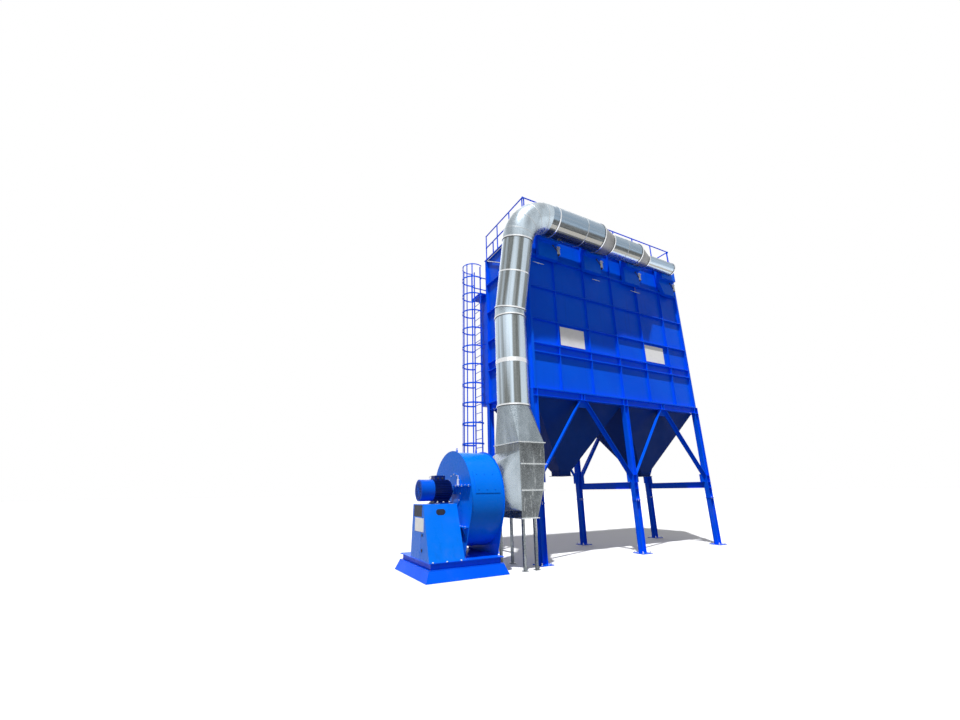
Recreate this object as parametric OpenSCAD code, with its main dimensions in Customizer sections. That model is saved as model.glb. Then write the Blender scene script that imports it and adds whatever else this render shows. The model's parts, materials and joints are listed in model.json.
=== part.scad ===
// Bag filter dust collector on legs, with its outlet duct and extraction fan.
// +X runs to the right along the front, +Y away from the viewer, +Z up.
// Modules are drawn from the middle front leg at yard level; at_origin() then
// moves them so that the origin is the bottom centre of the whole plant.

/* [Casing] */
// Width of the filter casing across the front
casing_w = 7030; // [6600:10:7400]
// Depth of the casing from front to back
casing_d = 2430; // [2200:10:2700]
// Height of the casing from its supporting frame to the clean-air joint
casing_h = 4325; // [4000:5:4600]
// Thickness of the casing and plenum sheets
sheet_t = 6; // [4:1:10]
// Depth of the stiffening ribs
rib_d = 80; // [60:5:100]
// Thickness of the upright ribs
rib_w = 16; // [10:1:24]
// Thickness of the level ribs
rib_h = 30; // [20:1:40]
// Width of the corner posts
corner_w = 70; // [50:5:90]
// Distance between the upright ribs of the front
rib_pitch = 1250; // [1150:10:1300]
// Height of the lower joint rib above the foot of the casing
joint_low_z = 1105; // [1000:5:1150]
// Distance between the two ribs of that joint
joint_gap = 270; // [200:10:300]
// Height of the rib above the joint
mid_rib_z = 2145; // [1900:5:2300]
// Height of the upper rib
high_rib_z = 3225; // [2900:5:3400]

/* [Clean-air plenum and roof] */
// Height of the plenum above the casing
plenum_h = 1050; // [950:10:1150]
// Thickness of the roof deck
roof_t = 6; // [4:1:10]
// Height of the handrail above the roof
rail_h = 1050; // [1000:10:1150]
// Diameter of the handrail tube
rail_tube_d = 42; // [34:1:48]
// Greatest distance between the handrail posts
rail_post_pitch = 1000; // [800:50:1050]
// Length of a roof hatch along the front
hatch_w = 1200; // [1100:10:1250]
// Width of a roof hatch from front to back
hatch_d = 850; // [700:10:900]
// Distance between the hatches along the front
hatch_pitch = 1400; // [1350:10:1400]
// Gap between the two rows of hatches
hatch_gap = 120; // [80:10:200]
// Height of a roof hatch above the deck
hatch_h = 50; // [40:2:55]

/* [Support frame] */
// Height of the legs from the yard to the frame beams
leg_h = 4265; // [4150:5:4350]
// Width of the leg sections along the front
leg_w = 170; // [160:5:190]
// Depth of the leg sections from front to back
leg_d = 150; // [140:5:180]
// Thickness of the leg flanges and webs
leg_t = 12; // [8:1:16]
// Height of the frame beams
beam_h = 210; // [190:5:230]
// Distance between the legs along the front
leg_pitch = 3500; // [3400:10:3600]
// Side of the square base plates
base_plate_w = 380; // [340:10:420]
// Thickness of the base plates
base_plate_t = 20; // [15:1:30]
// Distance between the anchor holes of a base plate
anchor_pitch = 300; // [290:5:310]
// Diameter of the anchor holes
anchor_d = 26; // [22:1:30]
// Height of the splice in each leg
splice_z = 1440; // [1350:10:1500]
// Reach of the gussets at the foot of each leg
foot_gusset_w = 65; // [50:5:75]
// Height of the leg where the braces meet it
knee_z = 2050; // [2000:10:2150]
// Side of the brace angles
brace_w = 100; // [80:5:110]
// Thickness of the gusset plates
gusset_t = 16; // [14:1:20]
// Thickness of the brace angles
brace_t = 10; // [8:1:12]
// Depth of the tie beams between the front and back legs
tie_h = 200; // [150:5:220]
// Width of the tie beams
tie_w = 110; // [90:5:140]
// Height of the top of the tie beams
tie_top_z = 1950; // [1900:10:1980]

/* [Hoppers] */
// Side of the square hopper outlet
outlet_w = 400; // [350:10:450]
// Height of the outlet flange above the yard
outlet_z = 2150; // [2100:10:2200]
// Thickness of the hopper sheets
hopper_t = 6; // [5:1:10]
// Width of the outlet flange
outlet_flange_w = 60; // [50:5:70]
// Thickness of the outlet flange
outlet_flange_t = 12; // [8:1:16]
// Diameter of the bolt holes in the outlet flange
outlet_bolt_d = 14; // [12:1:18]
// Height of the straight spout under the pyramid
spout_h = 120; // [100:5:150]

/* [Outlet duct] */
// Outer radius of the main duct
duct_r = 445; // [430:5:455]
// Thickness of the duct sheets
duct_t = 4; // [3:1:6]
// Place of the main duct from front to back
duct_y = 120; // [60:5:200]
// Distance from the front sheets to the flat back of the header
header_back = 220; // [200:5:250]
// Height of the header axis above the foot of the plenum
header_up = 880; // [800:5:950]
// Outer radius of the large header section
header_big_r = 465; // [460:5:480]
// Outer radius of the middle header section
header_mid_r = 365; // [340:5:400]
// Outer radius of the last header section
header_end_r = 230; // [200:5:260]
// Middle radius of the elbow bend
elbow_r = 900; // [800:10:950]
// Height of the bend that starts the lean of the duct
lean_z = 6650; // [6500:10:6800]
// Length of duct on each side of that bend
lean_half = 130; // [100:5:150]
// Height of the sleeve around the lower duct
sleeve_z = 5090; // [4900:10:5200]
// Height of that sleeve from edge to edge
sleeve_h = 120; // [90:10:150]
// How far sleeves and seam rings stand out
sleeve_d = 8; // [6:1:12]
// How far the duct rings stand out
ring_d = 20; // [15:1:30]
// Width of the duct rings
ring_w = 40; // [30:2:50]
// Height of the foot of the round duct
duct_foot_z = 3900; // [3800:10:4000]
// Left end of the large header section
header_start = -2990; // [-3050:5:-2950]
// Right end of the large header section
header_big_end = -1105; // [-1200:5:-1000]
// Start of the middle header section
header_mid_start = -530; // [-600:5:-480]
// Right end of the middle header section
header_mid_end = 830; // [750:5:900]
// Start of the last header section
header_small_start = 1460; // [1380:5:1540]
// Right end of the header
header_end = 2850; // [2750:5:2950]

/* [Outlet boots] */
// Width of a boot between plenum and header
boot_w = 740; // [700:10:800]
// How far a boot stands out from the plenum ribs
boot_d = 150; // [130:10:170]
// How far the neck of a boot reaches into the header
neck_d = 300; // [270:10:330]
// Distance between the boots
boot_pitch = 1870; // [1800:10:1880]
// Distance from the first boot to the elbow
boot_gap = 35; // [30:5:80]
// Height of a boot up to its neck
boot_h = 560; // [520:10:600]
// Distance from the foot of a boot to the foot of the plenum
boot_drop = 90; // [60:5:110]
// How much the last boot narrows to its foot
boot_taper = 180; // [120:10:220]
// Width of a damper actuator
actuator_w = 140; // [120:5:160]
// Height of a damper actuator
actuator_h = 280; // [240:10:300]

/* [Inlet box] */
// Height of the top flange of the inlet box
box_top_z = 2920; // [2850:10:3000]
// Height of the bottom of the inlet box
box_foot_z = 1120; // [1050:10:1200]
// Height of the upper waist of the inlet box
box_waist_z = 2370; // [2300:10:2450]
// Height of the lower waist of the inlet box
box_hip_z = 1750; // [1700:10:1820]
// Left side of the inlet box
box_left = -4400; // [-4420:5:-4380]
// Width of the inlet box at its top
box_w = 760; // [740:5:780]
// Width of the inlet box at its lower waist
box_hip_w = 660; // [630:5:690]
// Depth of the inlet box
box_d = 1160; // [1100:10:1200]
// Distance from the fan shaft to the front of the inlet box
box_reach = 870; // [840:10:900]
// Width of the inlet box at its foot
box_foot_w = 450; // [420:5:480]
// Thickness of the inlet box sheets
box_t = 5; // [4:1:8]
// Height of the foot of the inlet cone
cone_foot_z = 1300; // [1250:10:1350]
// Height of the top of the inlet cone at the box
cone_top_z = 2700; // [2650:10:2750]
// Side of the inlet box legs
box_leg_w = 60; // [50:2:70]
// How far the flanges of the inlet box stand out
box_flange_w = 35; // [25:1:45]
// Thickness of those flanges
box_flange_t = 20; // [14:1:26]

/* [Fan] */
// Left face of the fan casing
fan_left = -5750; // [-5800:5:-5700]
// Width of the fan casing
fan_w = 850; // [800:10:880]
// Radius of the fan scroll
scroll_r = 1090; // [1000:10:1120]
// Middle of the scroll from front to back
scroll_y = 550; // [500:10:600]
// Middle of the scroll above the yard
scroll_z = 1600; // [1560:10:1660]
// Thickness of the fan side plates
fan_plate_t = 8; // [6:1:12]
// How far the side plates stand out from the scroll band
fan_lip = 35; // [25:1:45]
// Half length of the foot of the fan stand
stand_half = 740; // [700:10:780]
// Angle below the level at which the stand leaves the scroll
stand_angle = 25; // [20:1:30]
// Width of the discharge flange
fan_flange_w = 60; // [50:2:70]
// Thickness of the discharge flange
fan_flange_t = 12; // [8:1:16]
// Height of the discharge opening
discharge_h = 720; // [680:10:760]
// Depth of the hollow of the discharge
discharge_l = 700; // [600:10:800]
// Height of the upper split flange of the fan casing
split_high_z = 1890; // [1850:10:1930]
// Height of the lower split flange
split_low_z = 1010; // [980:10:1050]
// How far the split flanges stand out from the side plate
split_w = 90; // [70:5:95]
// Thickness of the split flanges
split_t = 20; // [14:1:24]
// Back end of the split flanges
split_back_y = 270; // [220:10:300]
// Width of the inspection door on the fan casing
door_w = 640; // [580:10:680]
// Thickness of that door
door_t = 12; // [8:1:18]
// Angle above the level at which the door starts
door_from = 6; // [4:1:10]
// Angle above the level at which the door ends
door_to = 33; // [30:1:38]
// Back end of the fan discharge
discharge_y = 2250; // [2200:10:2350]
// Place of the fan shaft from front to back
shaft_y = 370; // [320:10:420]
// Height of the fan shaft
shaft_z = 1790; // [1760:5:1820]
// Radius of the fan inlet eye
eye_r = 520; // [480:5:560]
// Radius of the motor body
motor_r = 215; // [200:5:225]
// Length of the motor body
motor_l = 760; // [700:10:780]
// Diameter of the motor shaft
shaft_d = 90; // [70:5:110]
// Length of the cowl over the motor fan
cowl_l = 320; // [290:10:350]
// Height of the motor fins
fin_d = 26; // [20:1:32]
// Thickness of the motor fins
fin_w = 8; // [6:1:10]
// Number of the motor fins
fins = 32; // [24, 28, 32, 36]
// Distance across the motor feet
motor_foot_w = 460; // [420:10:500]
// Height of the motor feet
motor_foot_h = 30; // [20:2:36]
// Side of the terminal box on the motor
terminal_w = 260; // [220:10:300]
// Height of the terminal box
terminal_h = 130; // [100:10:160]

/* [Fan pedestal and base] */
// Left face of the pedestal
pedestal_left = -6680; // [-6720:5:-6640]
// Width of the pedestal
pedestal_w = 820; // [780:5:860]
// Front edge of the pedestal top
pedestal_top_y = 0; // [-20:5:30]
// Depth of the pedestal top
pedestal_top_d = 640; // [610:5:680]
// Front edge of the pedestal foot
pedestal_foot_y = -425; // [-440:5:-380]
// Depth of the pedestal foot
pedestal_foot_d = 1130; // [1080:10:1200]
// Width of the hole in the pedestal
pedestal_hole_w = 230; // [200:5:260]
// Height of that hole
pedestal_hole_h = 130; // [110:5:150]
// Distance from the pedestal top down to the middle of that hole
pedestal_hole_down = 170; // [150:5:190]
// Height of the pedestal top
pedestal_z = 1490; // [1480:5:1500]
// Front edge of the base frame
base_y = -450; // [-480:5:-420]
// Depth of the base frame
base_d = 1900; // [1800:10:2000]
// Right end of the base frame
base_right = -4900; // [-4900:5:-4860]
// Height of the base frame channels
base_h = 150; // [140:5:160]
// Thickness of the flanges of those channels
base_flange_t = 16; // [12:1:20]
// Depth of the recess of those channels
base_recess = 60; // [45:5:80]
// How far the base frame runs past the pedestal
base_out = 10; // [5:1:20]
// Height of the flared skirt under the base frame
skirt_h = 210; // [200:5:220]
// How far the skirt flares out at the yard
skirt_flare = 90; // [60:5:120]

/* [Ladder and landing] */
// Distance between the ladder stringers
ladder_w = 450; // [400:10:500]
// Place of the ladder from front to back
ladder_y = 2690; // [2660:10:2720]
// Radius of the safety cage
cage_r = 380; // [350:5:400]
// Height of the landing above the yard
landing_z = 8500; // [8400:10:8600]
// Height of the landing rail
landing_rail_h = 1050; // [1000:10:1100]
// Distance between the rungs
rung_pitch = 280; // [250:5:300]
// Diameter of the rungs
rung_d = 22; // [20:1:26]
// Width of the ladder stringers
stringer_w = 60; // [50:2:70]
// Thickness of the ladder stringers
stringer_t = 20; // [12:1:24]
// Distance between the hoops of the cage
hoop_pitch = 650; // [600:10:750]
// Height of a hoop
hoop_h = 50; // [40:2:60]
// Thickness of the hoops and cage straps
hoop_t = 6; // [5:1:10]
// Height of the lowest hoop
cage_foot_z = 2500; // [2300:10:2700]
// Angle between the upright straps of the cage
strap_angle = 30; // [26:1:32]
// Distance from the ladder to the wall that carries it
ladder_standoff = 200; // [180:5:220]

// Width of the landing along the back
landing_w = 1900; // [1700:10:2100]
// Depth of the landing
landing_d = 690; // [650:10:750]
// Thickness of the landing grating
landing_t = 40; // [30:2:50]
// Place of the short ladder to the roof
roof_ladder_x = -2900; // [-3000:10:-2800]
// Width of the grating on the roof
roof_grating_w = 600; // [500:10:700]
// Depth of the grating on the roof
roof_grating_d = 1150; // [1000:10:1250]

/* [Dirty-air inlet] */
// Depth of the inlet plenum on the back
inlet_d = 520; // [480:10:560]
// Outer radius of the inlet collar
inlet_r = 600; // [550:10:650]
// Length of the inlet collar
inlet_l = 250; // [200:10:300]
// Height of the collar above the foot of the casing
inlet_up = 2035; // [1800:5:2200]
// Width of the collar flange
collar_flange_w = 80; // [75:5:90]
// Pitch circle diameter of the collar bolts
inlet_pcd = 1290; // [1280:2:1300]
// Number of the collar bolts
inlet_bolts = 12; // [8, 12, 16]

/* [Hidden] */
$fn = 64;

// Running gap between curved pieces that seat on each other
seat_gap = 0.3;
// Overshoot of a cut past the face it opens
cut = 1;

half_w = casing_w / 2;
beam_top = leg_h + beam_h;
casing_top = beam_top + casing_h;
roof_z = casing_top + plenum_h;
header_z = casing_top + header_up;
rib_steps = [-2, -1, 0, 1, 2];
four_steps = [-1.5, -0.5, 0.5, 1.5];
joint_high_z = joint_low_z + joint_gap;

// Legs stand with their faces flush with the ribs.
leg_front_y = leg_d / 2 - rib_d;
leg_back_y = casing_d + rib_d - leg_d / 2;
leg_xs = [-leg_pitch, 0, leg_pitch];

// Header sections share their axis height and their back face.
function header_axis_y(r) = -header_back - r;
header_y = header_axis_y(header_big_r);

// The elbow ends just left of the first boot, and the duct hangs under its other end.
elbow_end = min(four_steps) * boot_pitch - boot_w / 2 - boot_gap;
duct_x = elbow_end - elbow_r;

// Lean of the duct, from the lower bend to the header.
lean = atan((duct_y - header_y) / (header_z - lean_z));
lean_l = norm([duct_y - header_y, header_z - lean_z]);
bend_r = lean_half / tan(lean / 2);

fan_right = fan_left + fan_w;
box_front = shaft_y - box_reach;
box_back = box_front + box_d;

ladder_x = -half_w - rib_d - ladder_standoff;
landing_left = ladder_x + stringer_t / 2;
stringer_off = ladder_w / 2;

// Corners of the whole plant, from which its middle is found.
min_x = pedestal_left - base_out - skirt_flare;
max_x = leg_pitch + base_plate_w / 2;
min_y = header_y - header_big_r - ring_d;
max_y = casing_d + inlet_d + inlet_l;
mid_x = (min_x + max_x) / 2;
mid_y = (min_y + max_y) / 2;

blue = [0.02, 0.22, 0.78];
dark_blue = [0.03, 0.10, 0.40];
zinc = [0.70, 0.73, 0.75];
off_white = [0.85, 0.86, 0.86];

module at_origin() {
  translate([-mid_x, -mid_y, 0]) children();
}

// Casing walls

// Sheet in the XZ plane with its ribs on the -Y side. len runs along X from 0.
module ribbed_sheet(len, h, upright_xs, level_zs) {
  cube([len, sheet_t, h]);
  for (x = upright_xs) translate([x - rib_w / 2, -rib_d, 0]) cube([rib_w, rib_d + cut, h]);
  for (x = [0, len - corner_w]) translate([x, -rib_d, 0]) cube([corner_w, rib_d + cut, h]);
  for (z = level_zs) translate([0, -rib_d, z]) cube([len, rib_d + cut, rib_h]);
}

function casing_levels() =
  [0, joint_low_z - rib_h / 2, joint_high_z - rib_h / 2, mid_rib_z - rib_h / 2,
   high_rib_z - rib_h / 2, casing_h - rib_h];

module long_wall(h, levels) {
  uprights = [for (s = rib_steps) half_w + s * rib_pitch];
  ribbed_sheet(casing_w, h, uprights, levels);
}

module short_wall(h, levels) {
  len = casing_d - 2 * sheet_t;
  ribbed_sheet(len, h, [len / 2], levels);
}

module casing_front() {
  color(blue) at_origin() translate([-half_w, 0, beam_top]) long_wall(casing_h, casing_levels());
}

module casing_back() {
  color(blue) at_origin() translate([half_w, casing_d, beam_top]) rotate([0, 0, 180])
    long_wall(casing_h, casing_levels());
}

module casing_left() {
  color(blue) at_origin() translate([-half_w, casing_d - sheet_t, beam_top]) rotate([0, 0, -90])
    short_wall(casing_h, casing_levels());
}

module casing_right() {
  color(blue) at_origin() translate([half_w, sheet_t, beam_top]) rotate([0, 0, 90])
    short_wall(casing_h, casing_levels());
}

// Four walls of the clean-air plenum, with a band of ribs at foot and top.
module clean_air_plenum() {
  levels = [0, plenum_h - rib_h];
  color(blue) at_origin() translate([0, 0, casing_top]) {
    translate([-half_w, 0, 0]) long_wall(plenum_h, levels);
    translate([half_w, casing_d, 0]) rotate([0, 0, 180]) long_wall(plenum_h, levels);
    translate([-half_w, casing_d - sheet_t + cut, 0]) rotate([0, 0, -90])
      ribbed_sheet(casing_d - 2 * sheet_t + 2 * cut, plenum_h, [casing_d / 2], levels);
    translate([half_w, sheet_t - cut, 0]) rotate([0, 0, 90])
      ribbed_sheet(casing_d - 2 * sheet_t + 2 * cut, plenum_h, [casing_d / 2], levels);
  }
}

// Deck with two rows of hatches over the filter rows.
module roof_deck() {
  color(blue) at_origin() {
    translate([-half_w - rib_d, -rib_d, roof_z]) cube([casing_w + 2 * rib_d, casing_d + 2 * rib_d, roof_t]);
    for (i = four_steps, s = [-1, 1])
      translate([i * hatch_pitch - hatch_w / 2, (casing_d + s * (hatch_d + hatch_gap) - hatch_d) / 2, roof_z])
        cube([hatch_w, hatch_d, roof_t + hatch_h]);
  }
}

// Hoppers

hopper_top_w = leg_pitch - leg_w;
hopper_top_d = leg_back_y - leg_front_y - leg_d;
pyramid_z = outlet_z + outlet_flange_t + spout_h;

module pyramid(w, d, foot_w) {
  hull() {
    translate([-w / 2, -d / 2, leg_h]) cube([w, d, cut]);
    translate([-foot_w / 2, -foot_w / 2, pyramid_z]) cube([foot_w, foot_w, cut]);
  }
}

module hopper(x) {
  flange_w = outlet_w + 2 * outlet_flange_w;
  hole_at = (outlet_w + outlet_flange_w) / 2;
  inner_w = hopper_top_w - 2 * hopper_t;
  inner_d = hopper_top_d - 2 * hopper_t;
  translate([x, casing_d / 2, 0]) difference() {
    union() {
      translate([-hopper_top_w / 2, -hopper_top_d / 2, leg_h]) cube([hopper_top_w, hopper_top_d, beam_h]);
      pyramid(hopper_top_w, hopper_top_d, outlet_w + 2 * hopper_t);
      translate([-outlet_w / 2 - hopper_t, -outlet_w / 2 - hopper_t, outlet_z])
        cube([outlet_w + 2 * hopper_t, outlet_w + 2 * hopper_t, spout_h + 2 * outlet_flange_t]);
      translate([-flange_w / 2, -flange_w / 2, outlet_z]) cube([flange_w, flange_w, outlet_flange_t]);
    }
    pyramid(inner_w, inner_d, outlet_w);
    translate([-inner_w / 2, -inner_d / 2, leg_h]) cube([inner_w, inner_d, beam_h + cut]);
    translate([-outlet_w / 2, -outlet_w / 2, outlet_z - cut])
      cube([outlet_w, outlet_w, spout_h + 2 * outlet_flange_t]);
    for (sx = [-1, 1], sy = [-1, 1])
      translate([sx * hole_at, sy * hole_at, outlet_z - cut])
        cylinder(h = outlet_flange_t + 2 * cut, d = outlet_bolt_d);
  }
}

module hopper_left() {
  color(dark_blue) at_origin() hopper(-leg_pitch / 2);
}

module hopper_right() {
  color(dark_blue) at_origin() hopper(leg_pitch / 2);
}

// Support frame

// H section with its flanges towards the left and right.
module h_section(w, d, t) {
  translate([-w / 2, -d / 2]) square([t, d]);
  translate([w / 2 - t, -d / 2]) square([t, d]);
  translate([-w / 2, -t / 2]) square([w, t]);
}

module leg_plate(z, out) {
  translate([-leg_w / 2 - out, -leg_d / 2 - out, z]) cube([leg_w + 2 * out, leg_d + 2 * out, leg_t]);
}

// Leg with its base plate, foot gussets, bolted splice and stiffeners.
module leg(x, y) {
  foot_gusset_top = splice_z - 2 * leg_t;
  translate([x, y, 0]) {
    translate([0, 0, base_plate_t - cut])
      linear_extrude(height = leg_h - base_plate_t + cut) h_section(leg_w, leg_d, leg_t);
    for (turn = [0, 180]) rotate([0, 0, turn]) translate([0, leg_t / 2, 0]) rotate([90, 0, 0])
      linear_extrude(height = leg_t)
        polygon([[leg_w / 2 - leg_t / 2, base_plate_t - cut], [leg_w / 2 + foot_gusset_w, base_plate_t - cut],
          [leg_w / 2 + foot_gusset_w, 3 * base_plate_t], [leg_w / 2 - leg_t / 2, foot_gusset_top]]);
    for (z = [splice_z - leg_t, splice_z]) leg_plate(z, leg_t);
    for (z = [tie_top_z - tie_h, tie_top_z - leg_t, knee_z + brace_w, leg_h - leg_t]) leg_plate(z, 0);
    difference() {
      translate([-base_plate_w / 2, -base_plate_w / 2, 0]) cube([base_plate_w, base_plate_w, base_plate_t]);
      for (sx = [-1, 1], sy = [-1, 1])
        translate([sx * anchor_pitch / 2, sy * anchor_pitch / 2, -cut])
          cylinder(h = base_plate_t + 2 * cut, d = anchor_d);
    }
  }
}

module leg_front_left() {
  color(blue) at_origin() leg(-leg_pitch, leg_front_y);
}

module leg_front_middle() {
  color(blue) at_origin() leg(0, leg_front_y);
}

module leg_front_right() {
  color(blue) at_origin() leg(leg_pitch, leg_front_y);
}

module leg_back_left() {
  color(blue) at_origin() leg(-leg_pitch, leg_back_y);
}

module leg_back_middle() {
  color(blue) at_origin() leg(0, leg_back_y);
}

module leg_back_right() {
  color(blue) at_origin() leg(leg_pitch, leg_back_y);
}

// Beam of I section, len along X and d from front to back.
module i_beam(len, d, h, t) {
  translate([0, -d / 2, 0]) cube([len, d, t]);
  translate([0, -d / 2, h - t]) cube([len, d, t]);
  translate([0, -t / 2, 0]) cube([len, t, h]);
}

// Two long beams over the legs, and three from front to back between them.
// Stiffeners stand over the legs and over the tops of the braces.
module top_frame() {
  len = 2 * leg_pitch + leg_w;
  color(blue) at_origin() translate([0, 0, leg_h]) {
    for (y = [leg_front_y, leg_back_y]) {
      translate([-len / 2, y, 0]) i_beam(len, leg_d, beam_h, leg_t);
      for (x = leg_xs, s = [-1, 1])
        translate([x + s * (leg_w - leg_t) / 2 - leg_t / 2, y - leg_d / 2, 0]) cube([leg_t, leg_d, beam_h]);
      for (x = [-leg_pitch / 2, leg_pitch / 2], s = [-1, 1])
        translate([x + s * brace_w / 2 - leg_t / 2, y - leg_d / 2, 0]) cube([leg_t, leg_d, beam_h]);
    }
    for (x = leg_xs) translate([x, leg_front_y + leg_d / 2 - cut, 0]) rotate([0, 0, 90])
      i_beam(leg_back_y - leg_front_y - leg_d + 2 * cut, leg_w, beam_h, leg_t);
  }
}

// Tie beams from each front leg to its back leg.
module tie_beams() {
  len = leg_back_y - leg_front_y - leg_d;
  color(blue) at_origin() for (x = leg_xs)
    translate([x, leg_front_y + leg_d / 2, tie_top_z - tie_h]) rotate([0, 0, 90])
      i_beam(len, tie_w, tie_h, brace_t);
}

// One brace angle from a to b, both [along, up], drawn in the XZ plane.
module brace(a, b) {
  run = b - a;
  translate([a[0], 0, a[1]]) rotate([0, -atan2(run[1], run[0]), 0]) {
    translate([0, -brace_t / 2, -brace_w / 2]) cube([norm(run), brace_t, brace_w]);
    translate([0, -brace_w, brace_w / 2 - brace_t]) cube([norm(run), brace_w, brace_t]);
  }
}

// Chevron of a bay: two braces from the middle of the beam down to the legs,
// cut off square by the leg faces and the underside of the beam, on gusset plates.
module chevron(span, face_w) {
  clear = span - face_w;
  intersection() {
    union() {
      for (side = [0, 1]) mirror([side, 0, 0]) {
        brace([brace_w, leg_h - brace_w / 2], [clear / 2 + brace_w, knee_z - brace_w]);
        translate([clear / 2 - knee_gusset_w, -gusset_t / 2, knee_z - brace_w])
          cube([knee_gusset_w + cut, gusset_t, knee_gusset_h]);
      }
      translate([-knee_gusset_w, -gusset_t / 2, leg_h - apex_gusset_h])
        cube([2 * knee_gusset_w, gusset_t, apex_gusset_h]);
    }
    translate([-clear / 2, -leg_d, 0]) cube([clear, 2 * leg_d, leg_h]);
  }
}

// Gusset plates of the braces, at the knees and at the apex.
knee_gusset_w = 1.5 * brace_w;
knee_gusset_h = 2.5 * brace_w;
apex_gusset_h = 2 * brace_w;

// Distance from the middle of a leg to the plane of its braces.
brace_off = brace_w - leg_d / 2;

module braces_front() {
  color(blue) at_origin() for (x = [-leg_pitch / 2, leg_pitch / 2])
    translate([x, leg_front_y + brace_off, 0]) chevron(leg_pitch, leg_w);
}

module braces_back() {
  color(blue) at_origin() for (x = [-leg_pitch / 2, leg_pitch / 2])
    translate([x, leg_back_y - brace_off, 0]) mirror([0, 1, 0]) chevron(leg_pitch, leg_w);
}

module braces_left() {
  color(blue) at_origin() translate([-leg_pitch - leg_w / 2 + brace_w, casing_d / 2, 0]) rotate([0, 0, -90])
    chevron(leg_back_y - leg_front_y, leg_d);
}

module braces_right() {
  color(blue) at_origin() translate([leg_pitch + leg_w / 2 - brace_w, casing_d / 2, 0]) rotate([0, 0, 90])
    chevron(leg_back_y - leg_front_y, leg_d);
}

// Roof handrails

// Straight handrail of length len along X, with posts no more than a pitch apart.
module handrail(len, h) {
  posts = ceil((len - rail_tube_d) / rail_post_pitch);
  step = (len - rail_tube_d) / posts;
  for (i = [0:posts]) translate([rail_tube_d / 2 + i * step, 0, 0])
    cylinder(h = h - rail_tube_d / 2, d = rail_tube_d, $fn = 16);
  for (z = [h / 2, h - rail_tube_d / 2])
    translate([0, 0, z]) rotate([0, 90, 0]) cylinder(h = len, d = rail_tube_d, $fn = 16);
}

rail_z = roof_z + roof_t;
rail_off = rail_tube_d / 2;

module rail_front() {
  color(blue) at_origin() translate([-half_w, -rail_off, rail_z]) handrail(casing_w, rail_h);
}

module rail_back() {
  start = roof_ladder_x + ladder_w / 2 + rail_tube_d;
  color(blue) at_origin() translate([start, casing_d + rail_off, rail_z]) handrail(half_w - start, rail_h);
}

module rail_left() {
  color(blue) at_origin() translate([-half_w - rail_off, 0, rail_z]) rotate([0, 0, 90])
    handrail(casing_d, rail_h);
}

module rail_right() {
  color(blue) at_origin() translate([half_w + rail_off, 0, rail_z]) rotate([0, 0, 90])
    handrail(casing_d, rail_h);
}

// Outlet boots from the plenum to the header

boot_foot_z = casing_top - boot_drop;

// Sections of the header: start, end, radius and how far their reducer reaches.
header_runs = [
  [header_start, header_big_end, header_big_r, header_mid_start],
  [header_mid_start, header_mid_end, header_mid_r, header_small_start],
  [header_small_start, header_end, header_end_r, header_end]];

module header_cylinder(from, to, axis_r, r) {
  translate([from, header_axis_y(axis_r), header_z]) rotate([0, 90, 0]) cylinder(h = to - from, r = r);
}

// Room for the elbow, the header, and its rings and reducers.
module header_clearance() {
  header_cylinder(elbow_end, header_start, header_big_r, header_big_r + seat_gap);
  for (run = header_runs) {
    header_cylinder(run[0], run[3], run[2], run[2] + seat_gap);
    header_cylinder(run[0] - seat_gap, run[0] + ring_w + seat_gap, run[2], run[2] + ring_d + seat_gap);
    header_cylinder(run[1] - ring_w - seat_gap, run[1] + seat_gap, run[2], run[2] + ring_d + seat_gap);
  }
}

// Boot seen from the front; taper narrows its foot on the left.
module boot_outline(taper) {
  polygon([[-boot_w / 2 + taper, 0], [boot_w / 2, 0], [boot_w / 2, boot_h], [-boot_w / 2, boot_h],
    [-boot_w / 2, boot_h - taper]]);
}

module outlet_boots() {
  neck_z = boot_foot_z + boot_h - cut;
  color(blue) at_origin() for (i = four_steps) translate([i * boot_pitch, 0, 0]) {
    translate([0, -rib_d, boot_foot_z]) rotate([90, 0, 0]) linear_extrude(height = boot_d)
      boot_outline(i == max(four_steps) ? boot_taper : 0);
    difference() {
      translate([-boot_w / 2, -rib_d - neck_d, neck_z])
        cube([boot_w, neck_d, roof_z - neck_z]);
      translate([-i * boot_pitch, 0, 0]) header_clearance();
    }
  }
}

// Pneumatic actuator of the damper in each boot, on the right side of the boot.
module damper_actuators() {
  color(off_white) at_origin() for (i = four_steps)
    translate([i * boot_pitch + boot_w / 2, -rib_d - boot_d, boot_foot_z + boot_h - actuator_h]) {
      cube([actuator_w / 2, boot_d, actuator_h / 2]);
      translate([2 * actuator_w / 3, boot_d / 2, 0]) cylinder(h = actuator_h, d = actuator_w);
    }
}

// Galvanised duct

module tube(l, r) {
  difference() {
    cylinder(h = l, r = r);
    translate([0, 0, -cut]) cylinder(h = l + 2 * cut, r = r - duct_t);
  }
}

module ring(r, out, h) {
  difference() {
    cylinder(h = h, r = r + out);
    translate([0, 0, -cut]) cylinder(h = h + 2 * cut, r = r - duct_t);
  }
}

module duct_ring(r) {
  ring(r, ring_d, ring_w);
}

// Length of straight tube with a ring at its foot and one at its top.
module flanged_tube(l, r) {
  tube(l, r);
  duct_ring(r);
  translate([0, 0, l - ring_w]) duct_ring(r);
}

module pipe_bend(r, bend, turn) {
  rotate_extrude(angle = turn) translate([bend, 0]) difference() {
    circle(r = r);
    circle(r = r - duct_t);
  }
}

// Reducer along +X from radius r1 to radius r2, flat at the back.
module reducer(l, r1, r2) {
  translate([0, -header_back, 0]) rotate([0, 90, 0])
    linear_extrude(height = l, scale = r2 / r1) translate([0, -r1]) difference() {
      circle(r = r1);
      circle(r = r1 - duct_t);
    }
}

module header_run(i) {
  run = header_runs[i];
  translate([run[0], header_axis_y(run[2]), header_z]) rotate([0, 90, 0])
    flanged_tube(run[1] - run[0], run[2]);
}

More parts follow.
